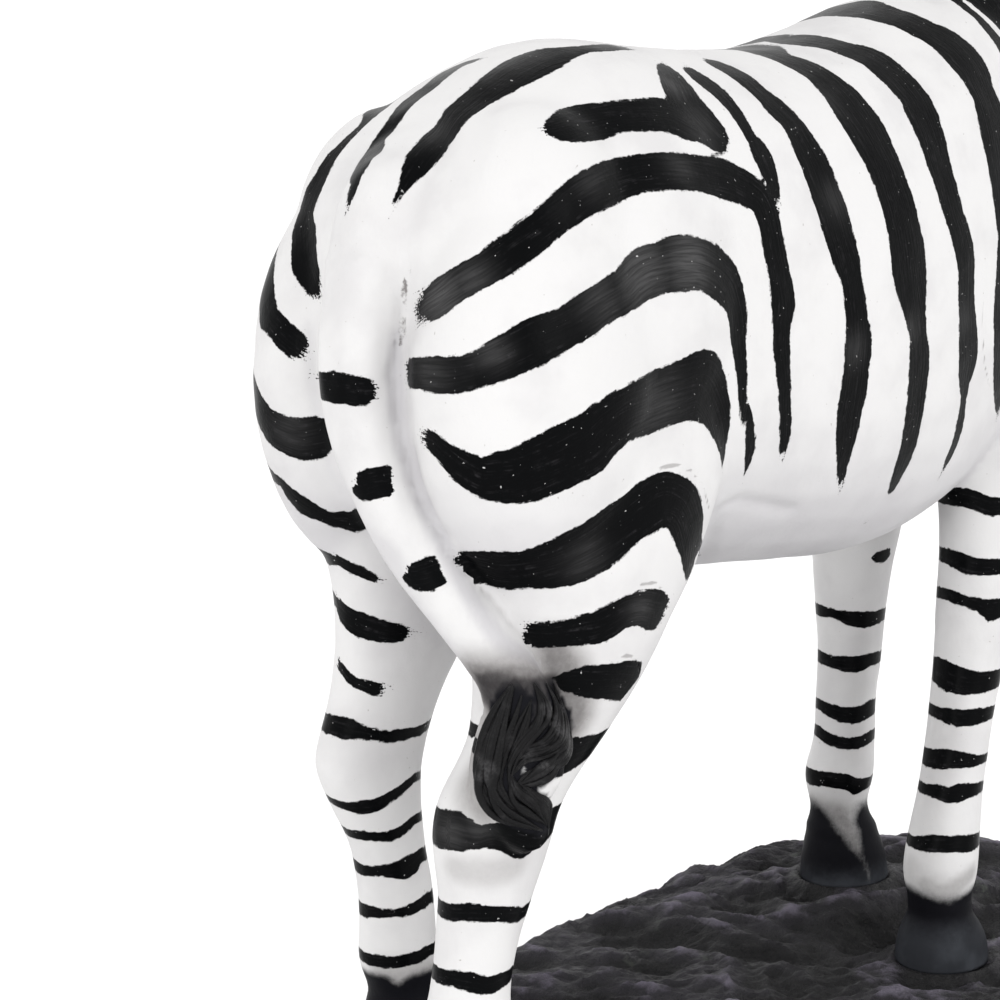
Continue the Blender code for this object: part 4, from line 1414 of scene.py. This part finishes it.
def figureMaterial():
    material, tree, shader = makeMaterial("zebraPaint")
    place = objectPlace(tree)
    brush = addNode(tree, "ShaderNodeSeparateXYZ", Vector=readAttribute(tree, "brush", "Vector"))
    tone = addNode(tree, "ShaderNodeSeparateXYZ", Vector=readAttribute(tree, "tone", "Vector"))
    shade, smoke, dark = tone.outputs
    streak = strokeStreak(tree, brush)
    edge = grainNoise(place, 0.8, 3.0, 0.6)
    fine = grainNoise(place, 3.5, 2.0)
    ragged = times(minus(edge, 0.5), figurePaint["edgeRagged"])
    ragged = plus(ragged, times(minus(fine, 0.5), figurePaint["fineRagged"]))
    bare = times(minus(plus(streak, fine), figurePaint["bareFrom"]), brush.outputs[2])
    level = plus(readAttribute(tree, "ink"), ragged)
    level = minus(level, times(bare, figurePaint["bareDepth"]))
    nick = figureStep("nick", grainNoise(place, 0.9, 4.0, 0.75))
    ink = times(figureStep("covered", level), minus(1.0, nick))
    mottle = figureStep("mottle", grainNoise(place, 0.07, 4.0, 0.55))
    paint = whitePaint(place, mottle, shade, smoke)
    line = figureStep("line", readAttribute(tree, "carve"))
    crack = figureStep("crack", plus(readAttribute(tree, "crack"), ragged))
    # Painted shade darkens the carved lines
    paint = blend(times(line, figurePaint["lineShade"]), paint, figurePaint["smoke"])
    paint = blend(crack, paint, figurePaint["smoke"])
    drag = times(figureStep("dragStreak", streak), figureStep("dragEdge", edge))
    colour = blend(ink, paint, blackPaint(tree, place, streak, drag))
    darkEdge = figureStep("hoofEdge", plus(dark, times(ragged, 0.35)))
    colour = blend(darkEdge, colour, hoofColour(tree, place, mottle, ragged))
    gloss = plus(times(drag, figurePaint["dragRough"]), figurePaint["blackRough"])
    rough = times(ink, minus(gloss, figurePaint["whiteRough"]))
    relief = plus(times(streak, figurePaint["bristleHeight"]), figurePaint["inkHeight"])
    relief = times(ink, relief)
    relief = minus(relief, times(line, figurePaint["lineDepth"]))
    relief = minus(relief, times(crack, figurePaint["crackDepth"]))
    cast = grainNoise(place, 0.6, 4.0, 0.6)
    relief = plus(relief, times(cast, figurePaint["castHeight"]))
    finishShader(shader, figurePaint, colour, plus(rough, figurePaint["whiteRough"]), relief)
    return material


def placeMesh(name, mesh, material, standsFor=None):
    mesh.materials.clear()
    mesh.materials.append(material)
    mesh.polygons.foreach_set("use_smooth", [True] * len(mesh.polygons))
    mesh.update()
    item = addObject(name, mesh)
    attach(item, "root")
    if standsFor:
        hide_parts(standsFor)


def paintStripes(skin, onTail, tailAway):
    field = blankField(skin)
    paintBody(field, skin, ~onTail)
    paintFront(field, skin, ~onTail)
    paintLegs(field, skin, ~onTail)
    for stroke in tailStrokes.values():
        beside = stroke.get("overBody", False) & (tailAway < tailRules["strokeReach"])
        addStroke(field, skin, laidRows(skin, stroke["stations"]), onTail | beside, stroke)
    print("stripes painted")
    return field


def makeFigure():
    mesh = figureSkin()
    cutHooves(mesh)
    softenRoot(mesh)
    skin = readSkin(mesh)
    print("figure skin:", len(mesh.polygons), "faces")
    tailAway = tailPlaces(skin["points"])
    onTail = tailMask(skin["points"], tailAway)
    field = paintStripes(skin, onTail, tailAway)
    fold = thinLine(skin, flankFold)
    tone = [shadeShare(skin, fold), strongest(skin, smokeStrokes), darkShare(skin)]
    lines = [thinLine(skin, line) for line in carvedLines.values()]
    painted = {
        "ink": field["inside"], "brush": field["brush"], "tone": np.stack(tone, axis=1),
        # the sheen share holds painted highlights on the black paint
        "paintedSheen": paintedSheenShares(skin), "carve": np.min(lines, axis=0), "crack": lineField(skin, crackStations),
    }
    lift = carveSkin(skin, onTail, tailAway, fold)
    placePoints(mesh, skin["points"] + skin["normals"] * lift[:, None], "zebra")
    for name, values in painted.items():
        setAttribute(mesh, name, values)
    placeMesh("figure", mesh, figureMaterial(), standsFor="zebra")
    print("figure carved and painted")
    return skin, painted


# Locks of the tuft: pixels down the middle of each lock and half widths in millimetres
tuftLocks = [
    [(512, 686, 1.6), (502, 715, 2.4), (492, 750, 2.6), (488, 782, 2.3), (500, 808, 2.0), (525, 822, 1.5),
     (542, 830, 0.8)],
    [(522, 696, 1.0), (514, 730, 1.6), (503, 765, 1.7), (502, 790, 1.5), (516, 808, 1.2), (540, 822, 0.7)],
    [(534, 684, 0.8), (542, 704, 1.2), (541, 724, 1.4), (527, 742, 1.4), (513, 763, 1.2), (509, 785, 0.8)],
    [(546, 684, 0.7), (555, 706, 1.1), (556, 728, 1.2), (545, 746, 1.2), (523, 753, 1.1), (508, 768, 0.8)],
    [(553, 683, 0.7), (562, 712, 1.1), (562, 740, 1.2), (548, 753, 1.1), (525, 760, 1.0), (511, 776, 0.7)],
    [(560, 700, 0.9), (566, 730, 1.4), (563, 757, 1.5), (545, 769, 1.3), (525, 778, 1.1), (513, 792, 0.7)],
    [(561, 748, 1.0), (553, 766, 1.7), (535, 777, 1.7), (519, 785, 1.0)],
    [(511, 775, 1.0), (517, 795, 1.6), (533, 808, 1.6), (546, 824, 0.9)],
    [(521, 781, 0.9), (532, 797, 1.4), (544, 810, 1.5), (548, 828, 0.8)],
    [(531, 700, 0.6), (524, 722, 1.0), (516, 742, 1.0), (508, 757, 0.6)],
]
lockSets = {
    "tuftLocks": {"Strands": 7, "Points": 30, "Spread": 0.72, "Girth": 0.36, "Seed": 5},
    "maneLocks": {"Strands": 5, "Points": 9, "Spread": 0.75, "Girth": 0.42, "Seed": 11},
}
lockShape = {
    "sides": 6,
    "flatness": 0.75,         # how much of a strand's rise off the surface is taken away
    "tuftLift": 0.15,         # share of a lock's half width that it stands off the leg
    "tuftFront": -60,         # a lock that lands in front of this x missed the leg
    "maneStep": 1.9,          # millimetres between locks along the crest
    "maneLock": 1.2,          # half width of a mane lock
    "maneFoot": 0.5, "maneRise": 0.93, "maneWide": 0.98, "maneTaper": 0.55,
    "maneLean": -0.9, "maneSway": 0.5,
}


def strandOffset(tree, given, half, swell):
    # Strands stay close to the surface and gather at both ends
    whose = tree.nodes.new("GeometryNodeCurveOfPoint")
    away = tree.nodes.new("FunctionNodeRandomValue")
    away.data_type = "FLOAT_VECTOR"
    away.inputs[0].default_value = (-1, -1, -1)
    away.inputs[1].default_value = (1, 1, 1)
    feed(away.inputs["ID"], whose.outputs["Curve Index"])
    feed(away.inputs["Seed"], given.outputs["Seed"])
    up = addNode(tree, "GeometryNodeInputNamedAttribute", {"data_type": "FLOAT_VECTOR"}, Name="up")
    vector = "ShaderNodeVectorMath"
    lifted = addNode(tree, vector, {"operation": "DOT_PRODUCT"}, input0=away.outputs[0], input1=up)
    lifted = times(lifted.outputs["Value"], lockShape["flatness"])
    flat = addNode(tree, vector, {"operation": "SCALE"}, Vector=up, Scale=lifted)
    flat = addNode(tree, vector, {"operation": "SUBTRACT"}, input0=away.outputs[0], input1=flat)
    reach = times(times(half, given.outputs["Spread"]), swell)
    return addNode(tree, vector, {"operation": "SCALE"}, Vector=flat, Scale=reach)


def lockTree(name, material):
    # Each edge path becomes a lock: copies of the path, spread round it and swept as tapering strands
    tree = bpy.data.node_groups.new(name, "GeometryNodeTree")
    tree.interface.new_socket("Geometry", in_out="INPUT", socket_type="NodeSocketGeometry")
    sockets = {}
    for label, value in lockSets[name].items():
        kind = "NodeSocketInt" if isinstance(value, int) else "NodeSocketFloat"
        sockets[label] = tree.interface.new_socket(label, in_out="INPUT", socket_type=kind).identifier
    tree.interface.new_socket("Geometry", in_out="OUTPUT", socket_type="NodeSocketGeometry")
    given = tree.nodes.new("NodeGroupInput")
    curve = addNode(tree, "GeometryNodeMeshToCurve", input0=given.outputs["Geometry"])
    even = addNode(tree, "GeometryNodeResampleCurve", Curve=curve, Count=given.outputs["Points"])
    copies = addNode(tree, "GeometryNodeDuplicateElements", {"domain": "SPLINE"}, Geometry=even,
                     Amount=given.outputs["Strands"])
    half = addNode(tree, "GeometryNodeInputNamedAttribute", {"data_type": "FLOAT"}, Name="half")
    place = tree.nodes.new("GeometryNodeSplineParameter").outputs["Factor"]
    swell = reckon("SINE", plus(times(place, 2.7), 0.22))
    moved = addNode(tree, "GeometryNodeSetPosition", Geometry=copies,
                    Offset=strandOffset(tree, given, half, swell))
    girth = times(times(half, given.outputs["Girth"]), swell)
    ring = addNode(tree, "GeometryNodeCurvePrimitiveCircle", Resolution=lockShape["sides"], Radius=1.0)
    tube = tree.nodes.new("GeometryNodeCurveToMesh")
    for socket, value in (("Curve", moved), ("Scale", girth), ("Profile Curve", ring), ("Fill Caps", True)):
        feed(tube.inputs[socket], value)
    real = addNode(tree, "GeometryNodeRealizeInstances", Geometry=tube)
    dressed = addNode(tree, "GeometryNodeSetMaterial", Geometry=real, Material=material)
    result = tree.nodes.new("NodeGroupOutput")
    feed(result.inputs["Geometry"], dressed)
    return tree, sockets


def makeLocks(name, paths, attributes, material):
    # paths are lists of points in metres; attributes hold one value for every point of every path
    points = [point for path in paths for point in path]
    edges = []
    for path in paths:
        start = edges[-1][1] + 1 if edges else 0
        edges += [(start + step, start + step + 1) for step in range(len(path) - 1)]
    guide = bpy.data.meshes.new(name + "Guide")
    guide.from_pydata(points, edges, [])
    for label, values in attributes.items():
        setAttribute(guide, label, np.array(values, float))
    item = addObject(name + "Guide", guide)
    strands = item.modifiers.new("locks", "NODES")
    strands.node_group, sockets = lockTree(name, material)
    for label, value in lockSets[name].items():
        strands[sockets[label]] = value
    mesh = settled(item)
    turned = bmesh.new()
    turned.from_mesh(mesh)
    bmesh.ops.recalc_face_normals(turned, faces=turned.faces)
    turned.to_mesh(mesh)
    turned.free()
    mesh.vertices.foreach_set("co", insideBox(pointsOf(mesh), "zebra").ravel())
    print(name, len(mesh.polygons), "faces")
    placeMesh(name, mesh, material)


def lockRows(tree):
    # x, y, z, half width and the surface normal down the middle of each lock
    found = []
    for lock in tuftLocks:
        rows = []
        for px, py, half in lock:
            eye, way = eyePoint(), pixelWay(px, py)
            place, normal = tree.ray_cast(eye, way)[:2]
            if place is None or place.x > lockShape["tuftFront"]:
                reach = (Vector(tailStations[8][:3]) - eye).dot(way)
                place, normal = tree.find_nearest(eye + way * reach)[:2]
            rows.append((*(place + normal * half * lockShape["tuftLift"]), half, *normal))
        found.append(smoothRows(rows, 4))
    return found


def toRow(point):
    return tuple(np.array(point) * mm + (0, 0, groundHeight * mm))


def makeTuft(skin):
    paths, halves, ups = [], [], []
    for fine in lockRows(skin["tree"]):
        paths.append([toRow(row[:3]) for row in fine])
        halves += [max(row[3], 0.3) * mm for row in fine]
        ups += [tuple(Vector(row[4:7]).normalized()) for row in fine]
    makeLocks("tuftLocks", paths, {"half": halves, "up": ups}, hairMaterial())


def makeMane(skin, attributes):
    # Upright locks along both sides of the crest, striped as the neck is
    crest = smoothRows(maneStations, 10)
    runs = np.concatenate([[0], np.cumsum(np.linalg.norm(np.diff(crest[:, :2], axis=0), axis=1))])
    paths, halves, ups, picked = [], [], [], []
    count = int(runs[-1] / lockShape["maneStep"])
    for step in range(1, count):
        run = step * lockShape["maneStep"]
        x, z, height = (np.interp(run, runs, crest[:, column]) for column in range(3))
        ahead = [np.interp(run + 1, runs, crest[:, column]) - (x, z)[column] for column in (0, 1)]
        way = Vector((ahead[0], 0, ahead[1])).normalized()
        up = Vector((-way.z, 0, way.x))
        for side in (1, -1):
            path = []
            for rise in range(5):
                share = rise / 4
                out = maneHalfWidth * (lockShape["maneWide"] - lockShape["maneTaper"] * share ** 3)
                sway = noise.noise(Vector((run * 0.3, side * 4.0, share)))
                lean = lockShape["maneLean"] * share + lockShape["maneSway"] * sway
                tall = lockShape["maneFoot"] + height * lockShape["maneRise"] * share
                point = Vector((x, side * out, z)) + up * tall + way * lean
                path.append(toRow(point))
                halves.append(lockShape["maneLock"] * mm)
                ups.append((0, side, 0))
                picked.append(int(np.linalg.norm(skin["points"] - np.array(point), axis=1).argmin()))
            paths.append(path)
    carried = {label: values[picked] for label, values in attributes.items()}
    makeLocks("maneLocks", paths, dict(carried, half=halves, up=ups), bpy.data.materials["zebraPaint"])


hairPaint = {
    "deep": (0.0025, 0.0024, 0.0027, 1),
    "charcoal": (0.0085, 0.0082, 0.0088, 1),
    "dry": (0.085, 0.083, 0.086, 1),
    "dryBroad": (0.5, 0.72), "dryFine": (0.3, 0.75, 0.1, 0.55),   # soft steps, as in figureSteps
    "roughness": (0.3, 0.7, 0.3, 0.5),
    "specular": 0.12,
    "bump": (0.4, 0.0003),
}


def hairMaterial():
    material, tree, shader = makeMaterial("tuftPaint")
    place = objectPlace(tree)
    broad = grainNoise(place, 0.28, 3.0)
    fine = grainNoise(place, 2.6, 3.0, 0.6)
    colour = blend(broad, hairPaint["deep"], hairPaint["charcoal"])
    dry = times(spread(broad, *hairPaint["dryBroad"]), spread(fine, *hairPaint["dryFine"]))
    colour = blend(dry, colour, hairPaint["dry"])
    finishShader(shader, hairPaint, colour, spread(fine, *hairPaint["roughness"]), fine)
    return material


# "form" is how the radius is stretched along x, y and z
eyeShape = {"radius": 2.5, "steps": 24, "sunk": 1.3, "form": (1.15, 0.9, 0.85)}
eyePaint = {
    "deep": (0.004, 0.003, 0.003, 1),
    "brown": (0.018, 0.011, 0.008, 1),
    "cloud": (0.35, 0.65),
    "roughness": (0.3, 0.7, 0.18, 0.28),
    "specular": 0.12,
}


def eyeMaterial():
    material, tree, shader = makeMaterial("eyePaint")
    cloud = grainNoise(objectPlace(tree), 0.6, 2.0)
    colour = blend(spread(cloud, *eyePaint["cloud"]), eyePaint["deep"], eyePaint["brown"])
    finishShader(shader, eyePaint, colour, spread(cloud, *eyePaint["roughness"]))
    return material


def makeEyes():
    material = eyeMaterial()
    radius, (long, wide, tall) = eyeShape["radius"], eyeShape["form"]
    for side, name in ((1, "eyeLeft"), (-1, "eyeRight")):
        middle = Vector((eyePlace[0], side * (eyePlace[1] - eyeShape["sunk"]), eyePlace[2]))
        ball = bmesh.new()
        rings = []
        for step in range(1, eyeShape["steps"]):
            angle = math.pi * step / eyeShape["steps"]
            rings.append(ringAt(middle + Vector((0, 0, math.cos(angle))) * radius * tall,
                                Vector((math.sin(angle) * radius * long, 0, 0)),
                                Vector((0, math.sin(angle) * radius * wide, 0))))
        loftRings(ball, rings)
        mesh = bpy.data.meshes.new(name)
        ball.to_mesh(mesh)
        ball.free()
        placePoints(mesh, pointsOf(mesh), "zebra")
        placeMesh(name, mesh, material)
    print("eyes made")


# Ground plan of the base, the same as the solid's; lengths in millimetres
baseShape = {
    "rimFront": 33.0, "rimRear": 14.0, "rimSideFront": 28.5, "rimSideRear": 16.0, "rimFall": 3.5,
    "rippleHeight": 1.0, "seatMargin": 6.0,
    "rimSquareness": 0.86,
    "collar": 1.1,             # the ground rises a little against each hoof
    "collarAt": 1.1, "collarReach": 0.13,    # in shares of a hoof's half length
    "spokes": 420, "hoops": 150, "sideSteps": 16,
    "ridgeHeight": 3.6,        # finer ridges that only the visual mesh carries
    "openFrom": 1.02, "openBy": 0.4,         # they start this far from a hoof, in the same shares
    "rimLump": 0.012, "rimBulge": 0.018, "rimDraw": 0.015,
}
# Long folds: direction as a cosine and sine, octaves, and the size and strength of each next one
foldShape = {"along": 0.69, "across": 0.72, "octaves": 4, "scale": 0.07, "fade": 0.64, "stretch": 0.48,
             "bend": 7.0, "wander": 2.0, "hills": 0.7}
# angle in degrees, share of the reach, spread in degrees
rimHollows = ((103, 0.05, 12), (30, 0.04, 10), (160, 0.03, 10), (218, 0.035, 14), (262, 0.045, 12),
              (328, 0.04, 13))
# x, y, rise and spread
groundSwells = ((66, 38, 2.8, 34), (46, -24, -3.6, 26), (-70, -2, -0.4, 30), (33, 46, -2.8, 10),
                (92, 10, 2.6, 17))


def rimPoint(angle):
    length, width = figureShape["hoofHalfLength"], figureShape["hoofHalfWidth"]
    front = max(place[0] for place in hoofPlaces.values()) + length + baseShape["rimFront"]
    rear = min(place[0] for place in hoofPlaces.values()) - length - baseShape["rimRear"]
    fore = hoofPlaces["foreRight"][1] * -1 + width + baseShape["rimSideFront"]
    hind = hoofPlaces["hindLeft"][1] + width + baseShape["rimSideRear"]
    reach = (front - rear) / 2
    squareness = baseShape["rimSquareness"]
    x = power(math.cos(angle), squareness) * reach
    side = hind + (fore - hind) * eased((x / reach + 1) / 2)
    hollowed = 1.0
    for place, depth, spreadOut in rimHollows:
        away = math.remainder(angle - math.radians(place), 2 * math.pi)
        hollowed -= depth * math.exp(-(away / math.radians(spreadOut)) ** 2)
    return (front + rear) / 2 + x * hollowed, power(math.sin(angle), squareness) * side * hollowed


def seatWeight(x, y):
    # Share of the level seats here, and the height of the nearest ones
    best, level, total = 0.0, 0.0, 0.0
    for hoofX, hoofY, hoofLevel in hoofPlaces.values():
        reachX = figureShape["hoofHalfLength"] + baseShape["seatMargin"]
        reachY = figureShape["hoofHalfWidth"] + baseShape["seatMargin"]
        weight = max(0.0, min(1.0, (1.7 - math.hypot((x - hoofX) / reachX, (y - hoofY) / reachY)) / 0.7))
        best = max(best, weight)
        level += weight ** 3 * hoofLevel
        total += weight ** 3
    return eased(best), level / max(total, 1e-6)


def ridges(x, y):
    # Long folds that flow one way, in several sizes, about minus one to one
    run = foldShape["along"] * x - foldShape["across"] * y
    over = foldShape["across"] * x + foldShape["along"] * y
    wander = noise.noise(Vector((run * 0.07, over * 0.05, 9.0))) * foldShape["wander"]
    total, size = 0.0, 1.0
    for octave in range(foldShape["octaves"]):
        scale = foldShape["scale"] * 2.0 ** octave
        bend = noise.noise(Vector((run * 0.025, over * 0.03, 4.0 + octave))) * foldShape["bend"]
        place = Vector((run * scale * foldShape["stretch"], (over + bend + wander) * scale, 7.0 + octave))
        total += (0.5 - 2.2 * abs(noise.noise(place))) * size
        size *= foldShape["fade"]
    return total + foldShape["hills"] * noise.noise(Vector((run * 0.10, over * 0.13, 21.0)))


def groundLevel(x, y):
    metreX, metreY = x * mm, y * mm
    wave = math.sin(150 * metreX + 55 * metreY + 2.0 * math.sin(60 * metreY)) * 0.45
    wave += math.sin(95 * metreY - 70 * metreX) * 0.35
    bumps = noise.noise(Vector((metreX * 60, metreY * 60, 1.5)))
    height = (wave + bumps - 0.4) * baseShape["rippleHeight"]
    for swellX, swellY, rise, spreadOut in groundSwells:
        height += rise * math.exp(-(math.hypot(x - swellX, y - swellY) / spreadOut) ** 2)
    weight, level = seatWeight(x, y)
    return height * (1 - weight) + level * weight


def hoofAway(x, y):
    # One on the edge of a hoof, less under it
    length, width = figureShape["hoofHalfLength"], figureShape["hoofHalfWidth"]
    return min(math.hypot((x - place[0]) / length, (y - place[1]) / width) for place in hoofPlaces.values())


def openShare(x, y):
    # Nothing under a hoof, one a little way outside it
    return eased(max(0.0, min(1.0, (hoofAway(x, y) - baseShape["openFrom"]) / baseShape["openBy"])))


# Painted shade in hollows of the ground: pixel, and spread in millimetres
shadedHollows = [
    (705, 935, 8), (745, 940, 7), (860, 925, 9), (850, 960, 12), (930, 965, 12), (990, 985, 16),
    (790, 905, 7),
]


def hollowShadeShare(points):
    # One in the middle of the painted shade in the hollows
    share = np.zeros(len(points))
    for px, py, spreadOut in shadedHollows:
        way, eye = pixelWay(px, py), eyePoint()
        place = np.array(eye - way * (eye.z / way.z))
        share = np.maximum(share, bell(np.linalg.norm((points - place)[:, :2], axis=1), spreadOut))
    return share


def topHeight(x, y, share, fold):
    # Height above the underside; share runs from the middle to the rim
    fall = max(0.0, (share - 0.9) / 0.1) ** 2 * baseShape["rimFall"]
    height = groundLevel(x, y) - fall + (fold - 0.35) * baseShape["ridgeHeight"] * openShare(x, y) * 0.55
    collar = math.exp(-((hoofAway(x, y) - baseShape["collarAt"]) / baseShape["collarReach"]) ** 2)
    return groundHeight + (height + baseShape["collar"] * collar)


def sidePoint(rimX, rimY, top, down):
    # A lumpy side; down runs from the rim to the underside
    lump = noise.noise(Vector((rimX * 0.07, rimY * 0.07, down * 1.2)))
    lump += 0.5 * noise.noise(Vector((rimX * 0.2, rimY * 0.2, down * 3.0)))
    bulge = baseShape["rimBulge"] * math.sin(math.pi * min(1.0, down * 1.3))
    out = 1 + bulge - baseShape["rimDraw"] * down ** 4
    out += lump * baseShape["rimLump"] * math.sin(math.pi * down)
    return (rimX * out, rimY * out, top * (1 - down)), lump * 0.6


def shellFaces(spokes, rings):
    # Rings of points closed by one point at either end
    faces = [(0, 1 + step, 1 + (step + 1) % spokes) for step in range(spokes)]
    for ring in range(rings - 1):
        near, far = 1 + ring * spokes, 1 + (ring + 1) * spokes
        for step in range(spokes):
            after = (step + 1) % spokes
            faces.append((near + step, far + step, far + after, near + after))
    last = 1 + (rings - 1) * spokes
    return faces + [(last + step, last + spokes, last + (step + 1) % spokes) for step in range(spokes)]


def makeBase():
    spokes, hoops, sideSteps = (baseShape[key] for key in ("spokes", "hoops", "sideSteps"))
    rims = [rimPoint(2 * math.pi * step / spokes) for step in range(spokes)]
    middle = ridges(0, 0)
    points = [(0.0, 0.0, groundHeight + groundLevel(0, 0) + middle * baseShape["ridgeHeight"] * 0.5)]
    folds = [middle]
    for hoop in range(1, hoops + 1):
        share = 1 - (1 - hoop / hoops) ** 1.15
        for x, y in ((rimX * share, rimY * share) for rimX, rimY in rims):
            folds.append(ridges(x, y))
            points.append((x, y, topHeight(x, y, share, folds[-1])))
    rimTops = [point[2] for point in points[-spokes:]]
    for step in range(1, sideSteps + 1):
        for (rimX, rimY), top in zip(rims, rimTops):
            point, fold = sidePoint(rimX, rimY, top, step / sideSteps)
            points.append(point)
            folds.append(fold)
    points.append((0.0, 0.0, 0.0))
    folds.append(0.0)
    mesh = bpy.data.meshes.new("base")
    mesh.from_pydata(points, [], shellFaces(spokes, hoops + sideSteps))
    mesh.vertices.foreach_set("co", insideBox(np.array(points) * mm, "base").ravel())
    setAttribute(mesh, "fold", np.array(folds))
    # the hollow attribute holds painted shade
    setAttribute(mesh, "hollow", hollowShadeShare(np.array(points)))
    placeMesh("ground", mesh, groundMaterial(), standsFor="base")
    print("base made:", len(mesh.polygons), "faces")


groundPaint = {
    "deep": (0.0045, 0.0042, 0.0048, 1),
    "charcoal": (0.016, 0.0145, 0.0185, 1),
    # paler crests: dry-brushed paint, and also a painted highlight
    "ridge": (0.125, 0.112, 0.145, 1),
    "moss": (0.072, 0.080, 0.068, 1),
    "specular": 0.28,
    "bump": (0.85, 0.0020),
    "grain": 1.4,              # how far the grain moves the edges between the paints
    # soft steps, as in figureSteps
    "deepStep": (-0.45, 0.45), "ridgeStep": (0.45, 1.25),
    "mossStep": (0.62, 0.72, 0.0, 0.7), "mossGrain": (0.45, 0.6),
    "hollowShadeStep": (1.1, 0.2, 0.35, 1.0), "roughness": (0.3, 0.7, 0.45, 0.7),
}


def groundMaterial():
    material, tree, shader = makeMaterial("groundPaint")
    place = objectPlace(tree)
    rough = grainNoise(place, 0.35, 5.0, 0.65)
    raised = times(minus(rough, 0.5), groundPaint["grain"])
    raised = plus(readAttribute(tree, "fold"), raised)
    # Near-black low parts and paler purple-grey crests: dry-brushed paint, and also painted shade below and
    # painted highlight on top
    step = spread(raised, *groundPaint["deepStep"])
    colour = blend(step, groundPaint["deep"], groundPaint["charcoal"])
    colour = blend(spread(raised, *groundPaint["ridgeStep"]), colour, groundPaint["ridge"])
    moss = spread(grainNoise(place, 0.11, 3.0), *groundPaint["mossStep"])
    moss = times(moss, spread(rough, *groundPaint["mossGrain"]))
    colour = blend(moss, colour, groundPaint["moss"])
    # Painted shade in the listed hollows, deepest on the low parts
    hollow = times(readAttribute(tree, "hollow"), spread(raised, *groundPaint["hollowShadeStep"]))
    colour = blend(hollow, colour, groundPaint["deep"])
    finishShader(shader, groundPaint, colour, spread(rough, *groundPaint["roughness"]), rough)
    return material


studio = {
    "floorHalf": 3.0,
    "floorColour": (0.97, 0.97, 0.97, 1), "floorRoughness": 0.9,
    "worldStrength": 1.12,
    "lights": [
        # place in metres, size, power in watts
        ("keyLight", (0.0, -0.95, 0.42), 0.40, 2.3),
        ("sideLight", (-0.85, -0.15, 0.30), 0.35, 1.5),
        ("backLight", (0.35, 0.8, 0.8), 0.6, 0.8),
    ],
    "aim": (0.0, 0.0, 0.12),
}


def addStudio():
    half = studio["floorHalf"]
    mesh = bpy.data.meshes.new("floor")
    corners = [(-half, -half, 0), (half, -half, 0), (half, half, 0), (-half, half, 0)]
    mesh.from_pydata(corners, [], [(0, 1, 2, 3)])
    material, shader = makeMaterial("floorPaint")[::2]
    shader.inputs["Base Color"].default_value = studio["floorColour"]
    shader.inputs["Roughness"].default_value = studio["floorRoughness"]
    mesh.materials.append(material)
    addObject("floor", mesh)
    scene = bpy.context.scene
    scene.view_settings.view_transform = "Standard"
    scene.world = bpy.data.worlds.new("studio")
    scene.world.use_nodes = True
    background = scene.world.node_tree.nodes["Background"]
    background.inputs["Color"].default_value = (1, 1, 1, 1)
    background.inputs["Strength"].default_value = studio["worldStrength"]
    for name, place, size, strength in studio["lights"]:
        data = bpy.data.lights.new(name, "AREA")
        data.size = size
        data.energy = strength
        light = addObject(name, data)
        light.location = place
        light.rotation_euler = (Vector(studio["aim"]) - Vector(place)).to_track_quat("-Z", "Y").to_euler()
    print("light and floor set")


addCamera()
skin, painted = makeFigure()
makeTuft(skin)
makeMane(skin, painted)
makeEyes()
makeBase()
addStudio()
